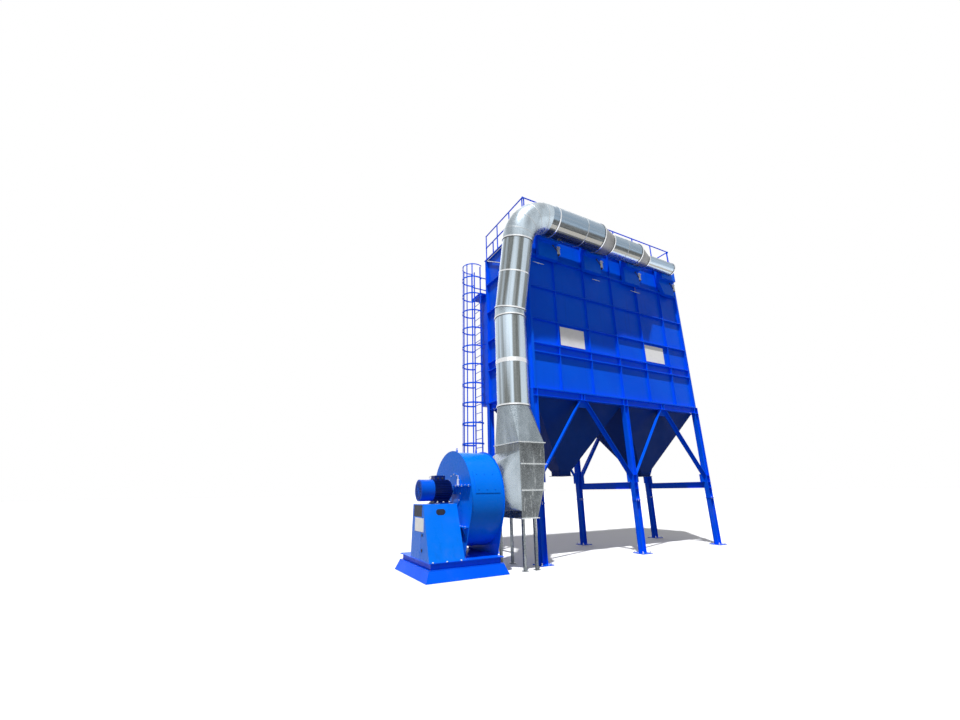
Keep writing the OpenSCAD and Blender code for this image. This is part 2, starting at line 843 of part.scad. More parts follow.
module header_large() {
  color(zinc) at_origin() {
    header_run(0);
    translate([elbow_end, header_y, header_z]) rotate([0, 90, 0])
      tube(header_start - elbow_end + cut, header_big_r);
  }
}

module header_reducers() {
  color(zinc) at_origin() translate([0, 0, header_z]) {
    translate([header_big_end, 0, 0])
      reducer(header_mid_start - header_big_end, header_big_r, header_mid_r);
    translate([header_mid_end, 0, 0])
      reducer(header_small_start - header_mid_end, header_mid_r, header_end_r);
  }
}

module header_middle() {
  color(zinc) at_origin() header_run(1);
}

module header_small() {
  color(zinc) at_origin() {
    header_run(2);
    translate([header_end - duct_t, header_axis_y(header_end_r), header_z]) rotate([0, 90, 0])
      cylinder(h = duct_t, r = header_end_r);
  }
}

module duct_elbow() {
  color(zinc) at_origin() translate([duct_x, header_y, header_z]) rotate([lean, 0, 0])
    translate([elbow_r, 0, -elbow_r]) rotate([90, 0, 180]) pipe_bend(header_big_r, elbow_r, 90);
}

module leaning_duct() {
  l = lean_l - lean_half - elbow_r;
  color(zinc) at_origin() translate([duct_x, duct_y, lean_z]) rotate([lean, 0, 0])
    translate([0, 0, lean_half]) {
      flanged_tube(l, duct_r);
      translate([0, 0, l / 2]) ring(duct_r, sleeve_d, ring_w);
    }
}

module duct_bend() {
  color(zinc) at_origin() translate([duct_x, duct_y - bend_r, lean_z - lean_half]) rotate([90, 0, 90])
    pipe_bend(duct_r, bend_r, lean);
}

module lower_duct() {
  color(zinc) at_origin() translate([duct_x, duct_y, duct_foot_z]) {
    flanged_tube(lean_z - lean_half - duct_foot_z, duct_r);
    translate([0, 0, sleeve_z - duct_foot_z]) ring(duct_r, sleeve_d, sleeve_h);
  }
}

module transition_solid(inset, over) {
  hull() {
    translate([duct_x, duct_y, duct_foot_z - cut]) cylinder(h = cut + over, r = duct_r - inset, $fn = 32);
    translate([box_left + inset, box_front + inset, box_top_z - over])
      cube([box_w - 2 * inset, box_d - 2 * inset, cut]);
  }
}

module duct_transition() {
  color(zinc) at_origin() difference() {
    transition_solid(0, 0);
    transition_solid(duct_t, cut / 2);
  }
}

// Inlet box of the fan

// Outline of the box from the front, set in by the sheet thickness.
function box_outline(inset) = [
  [box_left + inset, box_top_z], [box_left + inset, box_foot_z + inset],
  [box_left + box_foot_w - inset, box_foot_z + inset], [box_left + box_hip_w - inset, box_hip_z],
  [box_left + box_w - inset, box_waist_z], [box_left + box_w - inset, box_top_z]];

module box_slab(y, d, inset) {
  translate([0, y + d, 0]) rotate([90, 0, 0]) linear_extrude(height = d) polygon(box_outline(inset));
}

// Flange around the box at one height, standing out by left on its fan side.
module box_flange(z, w, left) {
  translate([box_left - left, box_front - box_flange_w, z])
    cube([left + w + box_flange_w, box_d + 2 * box_flange_w, box_flange_t]);
}

module box_leg(x, y) {
  translate([x, y, 0]) {
    translate([-box_leg_w / 2, -box_leg_w / 2, 0]) cube([box_leg_w, box_leg_w, box_foot_z]);
    translate([-box_leg_w, -box_leg_w, 0]) cube([2 * box_leg_w, 2 * box_leg_w, base_plate_t]);
  }
}

module inlet_box() {
  color(zinc) at_origin() {
    difference() {
      union() {
        box_slab(box_front, box_d, 0);
        box_flange(box_top_z - box_flange_t, box_w, box_flange_w);
        box_flange(box_waist_z, box_w, 0);
        box_flange(box_hip_z, box_hip_w, 0);
        box_flange(box_foot_z, box_foot_w, box_flange_w);
      }
      box_slab(box_front + box_t, box_d - 2 * box_t, box_t);
      translate([box_left - cut, box_front + 2 * box_t, cone_foot_z + 2 * box_t])
        cube([2 * box_t, box_d - 4 * box_t, cone_top_z - cone_foot_z - 4 * box_t]);
    }
    for (x = [box_left + box_leg_w, box_left + box_foot_w - box_leg_w],
         y = [box_front + box_leg_w, box_back - box_leg_w]) box_leg(x, y);
  }
}

// Fan

module cone_solid(inset, over) {
  hull() {
    translate([fan_right - over, shaft_y, shaft_z]) rotate([0, 90, 0])
      cylinder(h = cut, r = eye_r - inset, $fn = 32);
    translate([box_left - cut + over, box_front + inset, cone_foot_z + inset])
      cube([cut, box_d - 2 * inset, cone_top_z - cone_foot_z - 2 * inset]);
  }
}

module fan_inlet_cone() {
  color(zinc) at_origin() difference() {
    union() {
      cone_solid(0, 0);
      translate([fan_right, shaft_y, shaft_z]) rotate([0, 90, 0])
        cylinder(h = box_flange_t, r = eye_r + box_flange_w);
    }
    cone_solid(duct_t, cut / 2);
  }
}

// Outline of the scroll in the YZ plane, with its discharge running back.
module scroll(r, back) {
  translate([scroll_y, scroll_z]) circle(r = r, $fn = 96);
  translate([scroll_y, scroll_z - r]) square([back - scroll_y, discharge_h]);
}

// Side plate in the YZ plane: the scroll and the stand under it.
module side_plate() {
  foot_z = skirt_h + base_h;
  r = scroll_r + fan_lip;
  brow = r * [cos(stand_angle), -sin(stand_angle)];
  difference() {
    union() {
      scroll(r, discharge_y);
      polygon([[scroll_y - brow[0], scroll_z + brow[1]], [scroll_y - stand_half, foot_z],
        [scroll_y + stand_half, foot_z], [scroll_y + brow[0], scroll_z + brow[1]]]);
    }
    translate([base_y, 0]) square([3 * base_d, foot_z]);
  }
}

module in_yz(x, t) {
  translate([x, 0, 0]) rotate([90, 0, 90]) linear_extrude(height = t) children();
}

// Split flange on the motor side plate, with two gussets under it.
module split_flange(z) {
  r = scroll_r + fan_lip;
  front_y = scroll_y - sqrt(r * r - (z - scroll_z) * (z - scroll_z)) + split_t;
  l = split_back_y - front_y;
  translate([fan_left - split_w, front_y, z - split_t]) {
    cube([split_w + cut, l, split_t]);
    for (y = [2 * split_w, l - 2 * split_t]) translate([0, y, 0]) rotate([90, 0, 0])
      linear_extrude(height = split_t)
        polygon([[0, cut], [split_w + cut, cut], [split_w + cut, -2 * split_w], [split_w, -2 * split_w]]);
  }
}

// Curved inspection door on the front of the scroll band.
module fan_door() {
  r = scroll_r + door_t;
  far = 2 * r;
  in_yz((fan_left + fan_right - door_w) / 2, door_w) translate([scroll_y, scroll_z]) intersection() {
    difference() {
      circle(r = r, $fn = 96);
      circle(r = scroll_r - cut, $fn = 96);
    }
    polygon([[0, 0], [-far * cos(door_from), far * sin(door_from)],
      [-far * cos(door_to), far * sin(door_to)]]);
  }
}

module fan_casing() {
  foot_z = scroll_z - scroll_r;
  color(blue) at_origin() difference() {
    union() {
      in_yz(fan_left, fan_plate_t) side_plate();
      in_yz(fan_right - fan_plate_t, fan_plate_t) side_plate();
      in_yz(fan_left + fan_plate_t - cut, fan_w - 2 * fan_plate_t + 2 * cut) scroll(scroll_r, discharge_y);
      translate([fan_left - fan_flange_w, discharge_y - fan_flange_t, foot_z - fan_flange_w])
        cube([fan_w + 2 * fan_flange_w, fan_flange_t, discharge_h + 2 * fan_flange_w]);
      fan_door();
      split_flange(split_high_z);
      split_flange(split_low_z);
    }
    translate([fan_left + fan_plate_t, discharge_y - discharge_l, foot_z + fan_plate_t])
      cube([fan_w - 2 * fan_plate_t, discharge_l + cut, discharge_h - 2 * fan_plate_t]);
    for (x = [fan_left - fan_flange_w / 2, fan_right + fan_flange_w / 2],
         z = [foot_z - fan_flange_w / 2, foot_z + discharge_h + fan_flange_w / 2])
      translate([x, discharge_y + cut, z]) rotate([90, 0, 0])
        cylinder(h = fan_flange_t + 2 * cut, d = outlet_bolt_d);
  }
}

// Motor with its cowl, fins, feet and terminal box; the shaft runs into the fan.
module fan_motor() {
  start = pedestal_left + base_plate_t;
  stator_l = motor_l - cowl_l;
  color(dark_blue) at_origin() translate([start, shaft_y, 0]) {
    translate([0, 0, shaft_z]) {
      rotate([0, 90, 0]) {
        cylinder(h = motor_l, r = motor_r);
        cylinder(h = fan_left - start, d = shaft_d);
        cylinder(h = cowl_l, r = motor_r + fin_d);
      }
      for (i = [0:fins - 1]) rotate([i * 360 / fins, 0, 0])
        translate([cowl_l - cut, -fin_w / 2, motor_r - fin_w]) cube([stator_l - fin_d, fin_w, fin_d + fin_w]);
      translate([cowl_l + fin_d, -terminal_w / 2, motor_r - fin_d])
        cube([terminal_w, terminal_w, terminal_h]);
    }
    translate([cowl_l + fin_d, -motor_foot_w / 2, pedestal_z])
      cube([stator_l - 2 * fin_d, motor_foot_w, motor_foot_h]);
    translate([cowl_l + fin_d, -motor_foot_w / 4, pedestal_z])
      cube([stator_l - 2 * fin_d, motor_foot_w / 2, shaft_z - pedestal_z]);
  }
}

// Stand of the motor, with a hole at the upper right of its front.
module fan_pedestal() {
  foot_z = skirt_h + base_h;
  hole_x = pedestal_left + pedestal_w / 2 - pedestal_hole_w / 4;
  hole_z = pedestal_z - pedestal_hole_down;
  color(blue) at_origin() difference() {
    in_yz(pedestal_left, pedestal_w)
      polygon([[pedestal_foot_y, foot_z], [pedestal_foot_y + pedestal_foot_d, foot_z],
        [pedestal_top_y + pedestal_top_d, pedestal_z], [pedestal_top_y, pedestal_z]]);
    translate([hole_x, pedestal_top_y + base_recess, hole_z]) rotate([90, 0, 0]) {
      for (s = [0, 1]) translate([s * (pedestal_hole_w - pedestal_hole_h), 0, 0])
        cylinder(h = pedestal_hole_w, d = pedestal_hole_h);
      translate([0, -pedestal_hole_h / 2, 0])
        cube([pedestal_hole_w - pedestal_hole_h, pedestal_hole_h, pedestal_hole_w]);
    }
  }
}

// Channel frame with its open side outwards, on a skirt that flares to the yard.
module fan_base() {
  left = pedestal_left - base_out;
  len = base_right - left;
  groove_h = base_h - 2 * base_flange_t;
  color(blue) at_origin() {
    translate([left, base_y, skirt_h]) difference() {
      cube([len, base_d, base_h]);
      for (y = [-cut, base_d - base_recess]) translate([-cut, y, base_flange_t])
        cube([len + 2 * cut, base_recess + cut, groove_h]);
      for (x = [-cut, len - base_recess]) translate([x, -cut, base_flange_t])
        cube([base_recess + cut, base_d + 2 * cut, groove_h]);
    }
    hull() {
      translate([left, base_y, skirt_h]) cube([len, base_d, cut]);
      translate([left - skirt_flare, base_y - skirt_flare, 0])
        cube([len + 2 * skirt_flare, base_d + 2 * skirt_flare, cut]);
    }
  }
}

// Dirty-air inlet on the back

inlet_y = casing_d + rib_d;
inlet_face_y = casing_d + inlet_d;
collar_z = beam_top + inlet_up;

module collar_cylinder(y, l, r) {
  translate([0, y, collar_z]) rotate([-90, 0, 0]) cylinder(h = l, r = r);
}

module inlet_plenum() {
  h = landing_z - beam_top;
  color(blue) at_origin() difference() {
    union() {
      translate([-half_w, inlet_y, beam_top]) cube([casing_w, inlet_face_y - inlet_y, h]);
      collar_cylinder(inlet_face_y - cut, inlet_l + cut, inlet_r);
      collar_cylinder(inlet_face_y + inlet_l - ring_w / 2, ring_w / 2, inlet_r + collar_flange_w);
    }
    translate([-half_w + sheet_t, inlet_y - cut, beam_top + sheet_t])
      cube([casing_w - 2 * sheet_t, inlet_face_y - inlet_y - sheet_t + cut, h - 2 * sheet_t]);
    collar_cylinder(inlet_y, inlet_d + inlet_l, inlet_r - duct_t);
    for (i = [0:inlet_bolts - 1])
      translate([0, inlet_face_y + inlet_l - ring_w, collar_z]) rotate([-90, i * 360 / inlet_bolts, 0])
        translate([inlet_pcd / 2, 0, 0]) cylinder(h = 2 * ring_w, d = outlet_bolt_d);
  }
}

// Landing on the inlet plenum, with its rails and the short ladder to the roof

module landing() {
  ladder_at = roof_ladder_x - landing_left;
  color(blue) at_origin() translate([landing_left, inlet_y, landing_z]) {
    cube([landing_w, landing_d, landing_t]);
    translate([0, landing_d - rail_tube_d / 2, landing_t]) handrail(landing_w, landing_rail_h);
    translate([landing_w - rail_tube_d / 2, 0, landing_t]) rotate([0, 0, 90])
      handrail(landing_d - rail_tube_d / 2, landing_rail_h);
    for (s = [-1, 1]) translate([ladder_at + s * stringer_off - stringer_t / 2, stringer_w, landing_t])
      cube([stringer_t, stringer_w, roof_z + rail_h - landing_z - landing_t]);
    for (z = [landing_t + rung_pitch:rung_pitch:roof_z - landing_z])
      translate([ladder_at - stringer_off, 1.5 * stringer_w, z]) rotate([0, 90, 0])
        cylinder(h = ladder_w, d = rung_d, $fn = 16);
  }
}

// Galvanised grating at the head of the short ladder.
module roof_grating() {
  color(zinc) at_origin()
    translate([-half_w + rib_d + rail_tube_d, casing_d - roof_grating_d, roof_z + roof_t])
      cube([roof_grating_w, roof_grating_d - rail_tube_d, landing_t]);
}

// Ladder

// Hoop of the cage with the two lugs that join it to the stringers.
module hoop(cage_x) {
  tip = sqrt(cage_r * cage_r - cage_x * cage_x);
  lug_w = tip - stringer_off;
  difference() {
    translate([cage_x, 0, 0]) cylinder(h = hoop_h, r = cage_r);
    translate([cage_x, 0, -cut]) cylinder(h = hoop_h + 2 * cut, r = cage_r - hoop_t);
    translate([0, -cage_r, -cut]) cube([cage_r, 2 * cage_r, hoop_h + 2 * cut]);
  }
  for (s = [-1, 1]) translate([-hoop_t, s * (tip + stringer_off) / 2 - lug_w / 2 - stringer_t / 2, 0])
    cube([hoop_t, lug_w + stringer_t, hoop_h]);
}

module caged_ladder() {
  top = landing_z + landing_rail_h;
  cage_x = -cage_r / 2;
  bracket_zs = [beam_top + rib_d, beam_top + casing_h / 2, landing_z - rib_d];
  color(blue) at_origin() translate([ladder_x, ladder_y, 0]) {
    for (s = [-1, 1]) translate([-stringer_t / 2, s * stringer_off - stringer_w / 2, 0])
      cube([stringer_t, stringer_w, top]);
    for (z = [rung_pitch:rung_pitch:landing_z])
      translate([0, -stringer_off, z]) rotate([-90, 0, 0]) cylinder(h = ladder_w, d = rung_d, $fn = 16);
    for (z = bracket_zs) {
      translate([0, -stringer_t, z]) cube([-half_w - ladder_x, 2 * stringer_t, leg_t]);
      translate([0, -stringer_off, z]) cube([stringer_t, ladder_w, leg_t]);
    }
    for (z = [cage_foot_z:hoop_pitch:top - hoop_h]) translate([0, 0, z]) hoop(cage_x);
    for (a = [180 - 2 * strap_angle:strap_angle:180 + 2 * strap_angle])
      translate([cage_x + (cage_r - hoop_t) * cos(a), (cage_r - hoop_t) * sin(a), cage_foot_z])
        rotate([0, 0, a]) translate([-hoop_t, -stringer_t, 0])
          cube([hoop_t + cut, 2 * stringer_t, top - cage_foot_z]);
  }
}

casing_front();
casing_back();
casing_left();
casing_right();
clean_air_plenum();
roof_deck();
hopper_left();
hopper_right();
leg_front_left();
leg_front_middle();
leg_front_right();
leg_back_left();
leg_back_middle();
leg_back_right();
top_frame();
tie_beams();
braces_front();
braces_back();
braces_left();
braces_right();
rail_front();
rail_back();
rail_left();
rail_right();
outlet_boots();
damper_actuators();
header_large();
header_middle();
header_small();
header_reducers();
duct_elbow();
leaning_duct();
duct_bend();
lower_duct();
duct_transition();
inlet_box();
fan_inlet_cone();
fan_casing();
fan_motor();
fan_pedestal();
fan_base();
inlet_plenum();
landing();
roof_grating();
caged_ladder();
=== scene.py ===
import json
import math

import bpy
from mathutils import Matrix, Vector


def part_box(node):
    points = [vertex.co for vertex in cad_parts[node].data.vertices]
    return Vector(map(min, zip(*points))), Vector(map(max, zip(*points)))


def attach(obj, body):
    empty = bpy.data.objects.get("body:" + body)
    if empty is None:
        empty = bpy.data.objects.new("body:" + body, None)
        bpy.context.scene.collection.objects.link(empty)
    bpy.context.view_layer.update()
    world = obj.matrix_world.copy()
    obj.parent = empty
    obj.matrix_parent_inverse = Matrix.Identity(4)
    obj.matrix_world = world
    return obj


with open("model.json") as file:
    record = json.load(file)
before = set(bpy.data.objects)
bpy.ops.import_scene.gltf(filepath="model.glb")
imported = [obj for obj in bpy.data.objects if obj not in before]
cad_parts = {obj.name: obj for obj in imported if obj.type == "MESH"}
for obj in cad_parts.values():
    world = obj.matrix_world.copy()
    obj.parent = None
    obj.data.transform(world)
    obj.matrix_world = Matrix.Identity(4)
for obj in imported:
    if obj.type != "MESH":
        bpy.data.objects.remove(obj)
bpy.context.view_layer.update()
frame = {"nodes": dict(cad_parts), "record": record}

UP, DOWN = (0, 0, 1), (0, 0, -1)
FRONT, BACK = (0, -1, 0), (0, 1, 0)
LEFT, RIGHT = (-1, 0, 0), (1, 0, 0)

# Places are in metres from the middle front leg at yard level: X to the right along the front,
# Y to the back and Z up. SHIFT takes them to the shared frame.
LEG_Y, BACK_LEG_Y = -0.005, 2.435
leg_low, leg_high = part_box("leg_front_middle")
SHIFT = Vector(((leg_low.x + leg_high.x) / 2, (leg_low.y + leg_high.y) / 2 - LEG_Y, 0))


def in_frame(x, y, z):
    return Vector((x, y, z)) + SHIFT


# Housing: half its width, its depth, the reach of its ribs, and the heights of its parts
HALF_W, DEPTH, RIB = 3.515, 2.430, 0.080
CASING_Z, PLENUM_Z, ROOF_Z = 4.475, 8.800, 9.856

# Outlet duct: where its axes run, the radii of its lengths, and how far its middle length leans
DUCT_X, DUCT_Y, LEAN_Z, HEADER_Z = -4.110, 0.120, 6.650, 9.680
HEADER_Y, MIDDLE_Y, SMALL_Y = -0.685, -0.585, -0.450
DUCT_R, HEADER_R, MIDDLE_R, SMALL_R = 0.445, 0.465, 0.365, 0.230
ELBOW_R = 0.900
LEAN = math.atan((DUCT_Y - HEADER_Y) / (HEADER_Z - LEAN_Z))

# Inlet box: its sides, and the top and the right edge of each flange round it
BOX_LEFT, BOX_RIGHT, BOX_FRONT, BOX_BACK = -4.400, -3.640, -0.500, 0.660
BOX_FLANGES = ((2.920, BOX_RIGHT), (2.390, BOX_RIGHT), (1.770, -3.740), (1.140, -3.950))
BOX_FLANGE_T = 0.020

# Fan, motor and pedestal
SHAFT_Y, SHAFT_Z, FAN_LEFT, FAN_RIGHT = 0.370, 1.790, -5.750, -4.900
SCROLL_Y, SCROLL_Z, SCROLL_R = 0.550, 1.600, 1.090
MOTOR_LEFT, COWL_RIGHT, MOTOR_FOOT_Z, LID_Z = -6.660, -6.338, 1.520, 2.109
PEDESTAL_LEFT = -6.680


# Finishes: helpers

def new_material(name):
    """A material, its tree, its shader and the object's own coordinates."""
    mat = bpy.data.materials.new(name)
    mat.use_nodes = True
    tree = mat.node_tree
    place = tree.nodes.new("ShaderNodeTexCoord")
    return mat, tree, tree.nodes["Principled BSDF"], place.outputs["Object"]


def mapped(tree, vector, scale, turn=(0, 0, 0)):
    """Coordinates turned and scaled: a small scale draws a pattern out."""
    node = tree.nodes.new("ShaderNodeMapping")
    node.inputs["Scale"].default_value = scale
    node.inputs["Rotation"].default_value = turn
    tree.links.new(vector, node.inputs["Vector"])
    return node.outputs["Vector"]


def along_axis(tree, vector, point, turn):
    """Coordinates whose Z runs along a duct through point, turned as the duct is."""
    node = tree.nodes.new("ShaderNodeMapping")
    node.vector_type = "TEXTURE"
    node.inputs["Location"].default_value = point
    node.inputs["Rotation"].default_value = turn
    tree.links.new(vector, node.inputs["Vector"])
    return node.outputs["Vector"]


def noise(tree, vector, scale, detail=4.0, rough=0.55):
    node = tree.nodes.new("ShaderNodeTexNoise")
    node.inputs["Scale"].default_value = scale
    node.inputs["Detail"].default_value = detail
    node.inputs["Roughness"].default_value = rough
    tree.links.new(vector, node.inputs["Vector"])
    return node.outputs["Fac"]


def cells(tree, vector, scale):
    node = tree.nodes.new("ShaderNodeTexVoronoi")
    node.inputs["Scale"].default_value = scale
    tree.links.new(vector, node.inputs["Vector"])
    return node.outputs["Color"]


def spread(tree, value, low, high, to=(0.0, 1.0)):
    """Value eased from the range low to high onto the range in to."""
    node = tree.nodes.new("ShaderNodeMapRange")
    node.interpolation_type = "SMOOTHSTEP"
    tree.links.new(value, node.inputs["Value"])
    node.inputs["From Min"].default_value = low
    node.inputs["From Max"].default_value = high
    node.inputs["To Min"].default_value = to[0]
    node.inputs["To Max"].default_value = to[1]
    return node.outputs["Result"]


def worked_out(tree, operation, *values):
    """What a Math node makes of values, each a number or the output of another node."""
    node = tree.nodes.new("ShaderNodeMath")
    node.operation = operation
    for socket, value in zip(node.inputs, values):
        if isinstance(value, float):
            socket.default_value = value
        else:
            tree.links.new(value, socket)
    return node.outputs["Value"]


def near(tree, value, level, reach):
    """1 where value lies within reach of level, and 0 elsewhere."""
    return worked_out(tree, "COMPARE", value, level, reach)


def blend_colour(tree, share, a, b):
    """Colour a with that share of colour b, each a colour or the output of another node."""
    node = tree.nodes.new("ShaderNodeMix")
    node.data_type = "RGBA"
    tree.links.new(share, node.inputs["Factor"])
    for name, value in (("A", a), ("B", b)):
        socket = [s for s in node.inputs if s.name == name and s.type == "RGBA"][0]
        if isinstance(value, tuple):
            socket.default_value = value + (1.0,)
        else:
            tree.links.new(value, socket)
    return [s for s in node.outputs if s.type == "RGBA"][0]


def part_of(tree, vector, axis):
    node = tree.nodes.new("ShaderNodeSeparateXYZ")
    tree.links.new(vector, node.inputs["Vector"])
    return node.outputs[axis]


def length_of(tree, vector):
    node = tree.nodes.new("ShaderNodeVectorMath")
    node.operation = "LENGTH"
    tree.links.new(vector, node.inputs[0])
    return node.outputs["Value"]


def bumped(tree, shader, value, strength, distance):
    node = tree.nodes.new("ShaderNodeBump")
    node.inputs["Strength"].default_value = strength
    node.inputs["Distance"].default_value = distance
    tree.links.new(value, node.inputs["Height"])
    tree.links.new(node.outputs["Normal"], shader.inputs["Normal"])


def times_colour(colour, factor):
    return tuple(factor * c for c in colour)


# Finishes

# Dust thins out from the yard up to DUST_TOP
DUST = (0.34, 0.34, 0.33)
DUST_TOP = 2.4


def enamel(name, colour, faded, dust_share, rough, shade_beyond=None):
    """Enamel on sheet steel: faint fading, rain streaks, and dust that thickens near the yard.

    The last argument is a place along X and the colour of painted shade that starts there."""
    mat, tree, shader, place = new_material(name)
    fading = noise(tree, place, scale=0.7, detail=3.0)
    base = blend_colour(tree, spread(tree, fading, 0.35, 0.7), colour, faded)
    # Painted shade: a darker colour from the given place along X on
    if shade_beyond:
        edge, shade_colour = shade_beyond
        in_painted_shade = spread(tree, part_of(tree, place, "X"), edge, edge + 0.002)
        base = blend_colour(tree, in_painted_shade, base, shade_colour)
    streaks = noise(tree, mapped(tree, place, scale=(9.0, 9.0, 0.35)), scale=1.0, detail=5.0)
    streak_share = spread(tree, streaks, 0.54, 0.80, to=(0.0, 0.22))
    base = blend_colour(tree, streak_share, base, times_colour(colour, 0.45))
    dust = noise(tree, place, scale=2.4, detail=6.0, rough=0.65)
    low_down = spread(tree, part_of(tree, place, "Z"), 0.0, DUST_TOP, to=(1.0, 0.12))
    dust_here = spread(tree, dust, 0.48, 0.85, to=(0.0, dust_share))
    base = blend_colour(tree, worked_out(tree, "MULTIPLY", dust_here, low_down), base, DUST)
    tree.links.new(base, shader.inputs["Base Color"])
    tree.links.new(spread(tree, dust, 0.3, 0.75, to=(rough, rough + 0.2)),
                   shader.inputs["Roughness"])
    shader.inputs["Specular IOR Level"].default_value = 0.08
    bumped(tree, shader, noise(tree, place, scale=1.6, detail=2.0), strength=0.2, distance=0.012)
    return mat


# Bands along round ducts: random streaks coloured as painted reflections, bluish of the sky and
# dark of the surroundings
ZINC_DARK_REFLECTION, ZINC_SKY_REFLECTION = (0.13, 0.145, 0.14), (0.56, 0.67, 0.77)
ZINC_RING, ZINC_GRAIN = (0.78, 0.80, 0.82), (0.44, 0.47, 0.50)
ZINC_BLOOM, ZINC_SPANGLE, ZINC_SCUFF_AND_HIGHLIGHT = (0.66, 0.68, 0.69), (0.60, 0.63, 0.65), (0.62, 0.65, 0.66)
HEADER_DARK_REFLECTION, HEADER_SKY_REFLECTION = (0.045, 0.050, 0.048), (0.30, 0.42, 0.55)
HEADER_GROUND_REFLECTION = (0.36, 0.35, 0.31)
# Down from a header's axis, as shares of its radius: where its painted sky reflection on top
# fades out, and the middle and half width of its painted ground reflection line
TOP_FADES_FROM, TOP_FADES_TO, LINE_MIDDLE, LINE_HALF = 0.42, 0.58, 0.82, 0.07


def round_zinc(name, point, turn, radius, dull, header=False):
    """Rolled galvanised duct: bright and dull streaks along it in painted reflection colours,
    and clean bright flange rings.

    dull is added to the two noise values between which a band turns bright, so more of it leaves
    less bright. A header is darker, with a painted sky reflection on its upper part and a painted
    ground reflection line lower down."""
    mat, tree, shader, place = new_material(name)
    local = along_axis(tree, place, point, turn)
    drawn_out = mapped(tree, local, scale=(2.6, 2.6, 0.06))
    bands = noise(tree, drawn_out, scale=1.5, detail=2.0, rough=0.4)
    shade = blend_colour(tree, spread(tree, bands, 0.40 + dull, 0.56 + dull),
                         HEADER_DARK_REFLECTION if header else ZINC_DARK_REFLECTION, ZINC_SKY_REFLECTION)
    # A header gets a painted sky reflection on its top and a painted ground reflection line lower
    # down
    if header:
        down = part_of(tree, local, "X")
        top = spread(tree, down, TOP_FADES_FROM * radius, TOP_FADES_TO * radius, to=(0.75, 0.0))
        shade = blend_colour(tree, top, shade, HEADER_SKY_REFLECTION)
        ground_reflection = near(tree, down, LINE_MIDDLE * radius, LINE_HALF * radius)
        shade = blend_colour(tree, ground_reflection, shade, HEADER_GROUND_REFLECTION)
    grain = noise(tree, mapped(tree, local, scale=(30.0, 30.0, 0.6)), scale=1.0)
    shade = blend_colour(tree, spread(tree, grain, 0.40, 0.72, to=(0.0, 0.25)), shade, ZINC_GRAIN)
    spangle = cells(tree, place, scale=70.0)
    shade = blend_colour(tree, spread(tree, spangle, 0.3, 1.0, to=(0.0, 0.10)), shade, ZINC_RING)
    reach = length_of(tree, mapped(tree, local, scale=(1.0, 1.0, 0.0)))
    ring = spread(tree, reach, radius + 0.003, radius + 0.006)
    shade = blend_colour(tree, ring, shade, ZINC_RING)
    tree.links.new(shade, shader.inputs["Base Color"])
    shader.inputs["Metallic"].default_value = 0.85
    tree.links.new(spread(tree, grain, 0.3, 0.7, to=(0.18, 0.30)), shader.inputs["Roughness"])
    bumped(tree, shader, bands, strength=0.25, distance=0.05)
    return mat


def flat_zinc(name, dark, bright, metal, rough, bloom_share=0.30, scuffs=0.0, lit_flange_levels=()):
    """Galvanised plate work: soft mottling, white bloom in streaks, spangle, and slanting scuffs.

    The levels given are the heights of flanges, along which a bright band is painted as highlight."""
    mat, tree, shader, place = new_material(name)
    drawn_up = mapped(tree, place, scale=(1.6, 1.6, 0.7))
    mottle = noise(tree, drawn_up, scale=1.2, detail=3.0, rough=0.5)
    shade = blend_colour(tree, spread(tree, mottle, 0.36, 0.66), dark, bright)
    streaky = mapped(tree, place, scale=(9.0, 9.0, 0.5))
    bloom = noise(tree, streaky, scale=1.3, detail=5.0, rough=0.6)
    bloom_here = spread(tree, bloom, 0.56, 0.82, to=(0.0, bloom_share))
    shade = blend_colour(tree, bloom_here, shade, ZINC_BLOOM)
    spangle = cells(tree, place, scale=55.0)
    shade = blend_colour(tree, spread(tree, spangle, 0.3, 1.0, to=(0.0, 0.22)), shade, ZINC_SPANGLE)
    if scuffs:
        slanting = mapped(tree, place, scale=(16.0, 16.0, 2.2), turn=(0.0, 0.75, 0.0))
        scuff = noise(tree, slanting, scale=1.0, detail=3.0)
        scuff_here = spread(tree, scuff, 0.60, 0.68, to=(0.0, scuffs))
        shade = blend_colour(tree, scuff_here, shade, ZINC_SCUFF_AND_HIGHLIGHT)
    # Painted highlight: a bright band along each given flange level
    for level in lit_flange_levels:
        edge = near(tree, part_of(tree, place, "Z"), level, reach=0.012)
        shade = blend_colour(tree, edge, shade, ZINC_SCUFF_AND_HIGHLIGHT)
    tree.links.new(shade, shader.inputs["Base Color"])
    shader.inputs["Metallic"].default_value = metal
    tree.links.new(spread(tree, spangle, 0.2, 0.9, to=(rough, rough + 0.14)),
                   shader.inputs["Roughness"])
    bumped(tree, shader, mottle, strength=0.2, distance=0.02)
    return mat


def plain_finish(name, colour, rough, metal=0.0, grimy=0.64):
    """A small part's finish, darkened to the share grimy of its colour where grime lies."""
    mat, tree, shader, place = new_material(name)
    grime = noise(tree, place, scale=14.0, detail=5.0)
    shade = blend_colour(tree, spread(tree, grime, 0.4, 0.75), colour, times_colour(colour, grimy))
    tree.links.new(shade, shader.inputs["Base Color"])
    tree.links.new(spread(tree, grime, 0.3, 0.7, to=(rough, rough + 0.12)),
                   shader.inputs["Roughness"])
    shader.inputs["Metallic"].default_value = metal
    return mat


blue_enamel = enamel("blue_enamel", (0.0, 0.098, 0.88), (0.001, 0.115, 0.92),
                     dust_share=0.14, rough=0.30)
# Boots: a brighter blue painted as sunlight on them
boot_painted_sunlight = enamel("boot_painted_sunlight", (0.001, 0.135, 0.95), (0.001, 0.150, 0.97),
                     dust_share=0.08, rough=0.28)
fan_enamel = enamel("fan_enamel", (0.0, 0.165, 0.84), (0.002, 0.185, 0.86),
                    dust_share=0.10, rough=0.22)
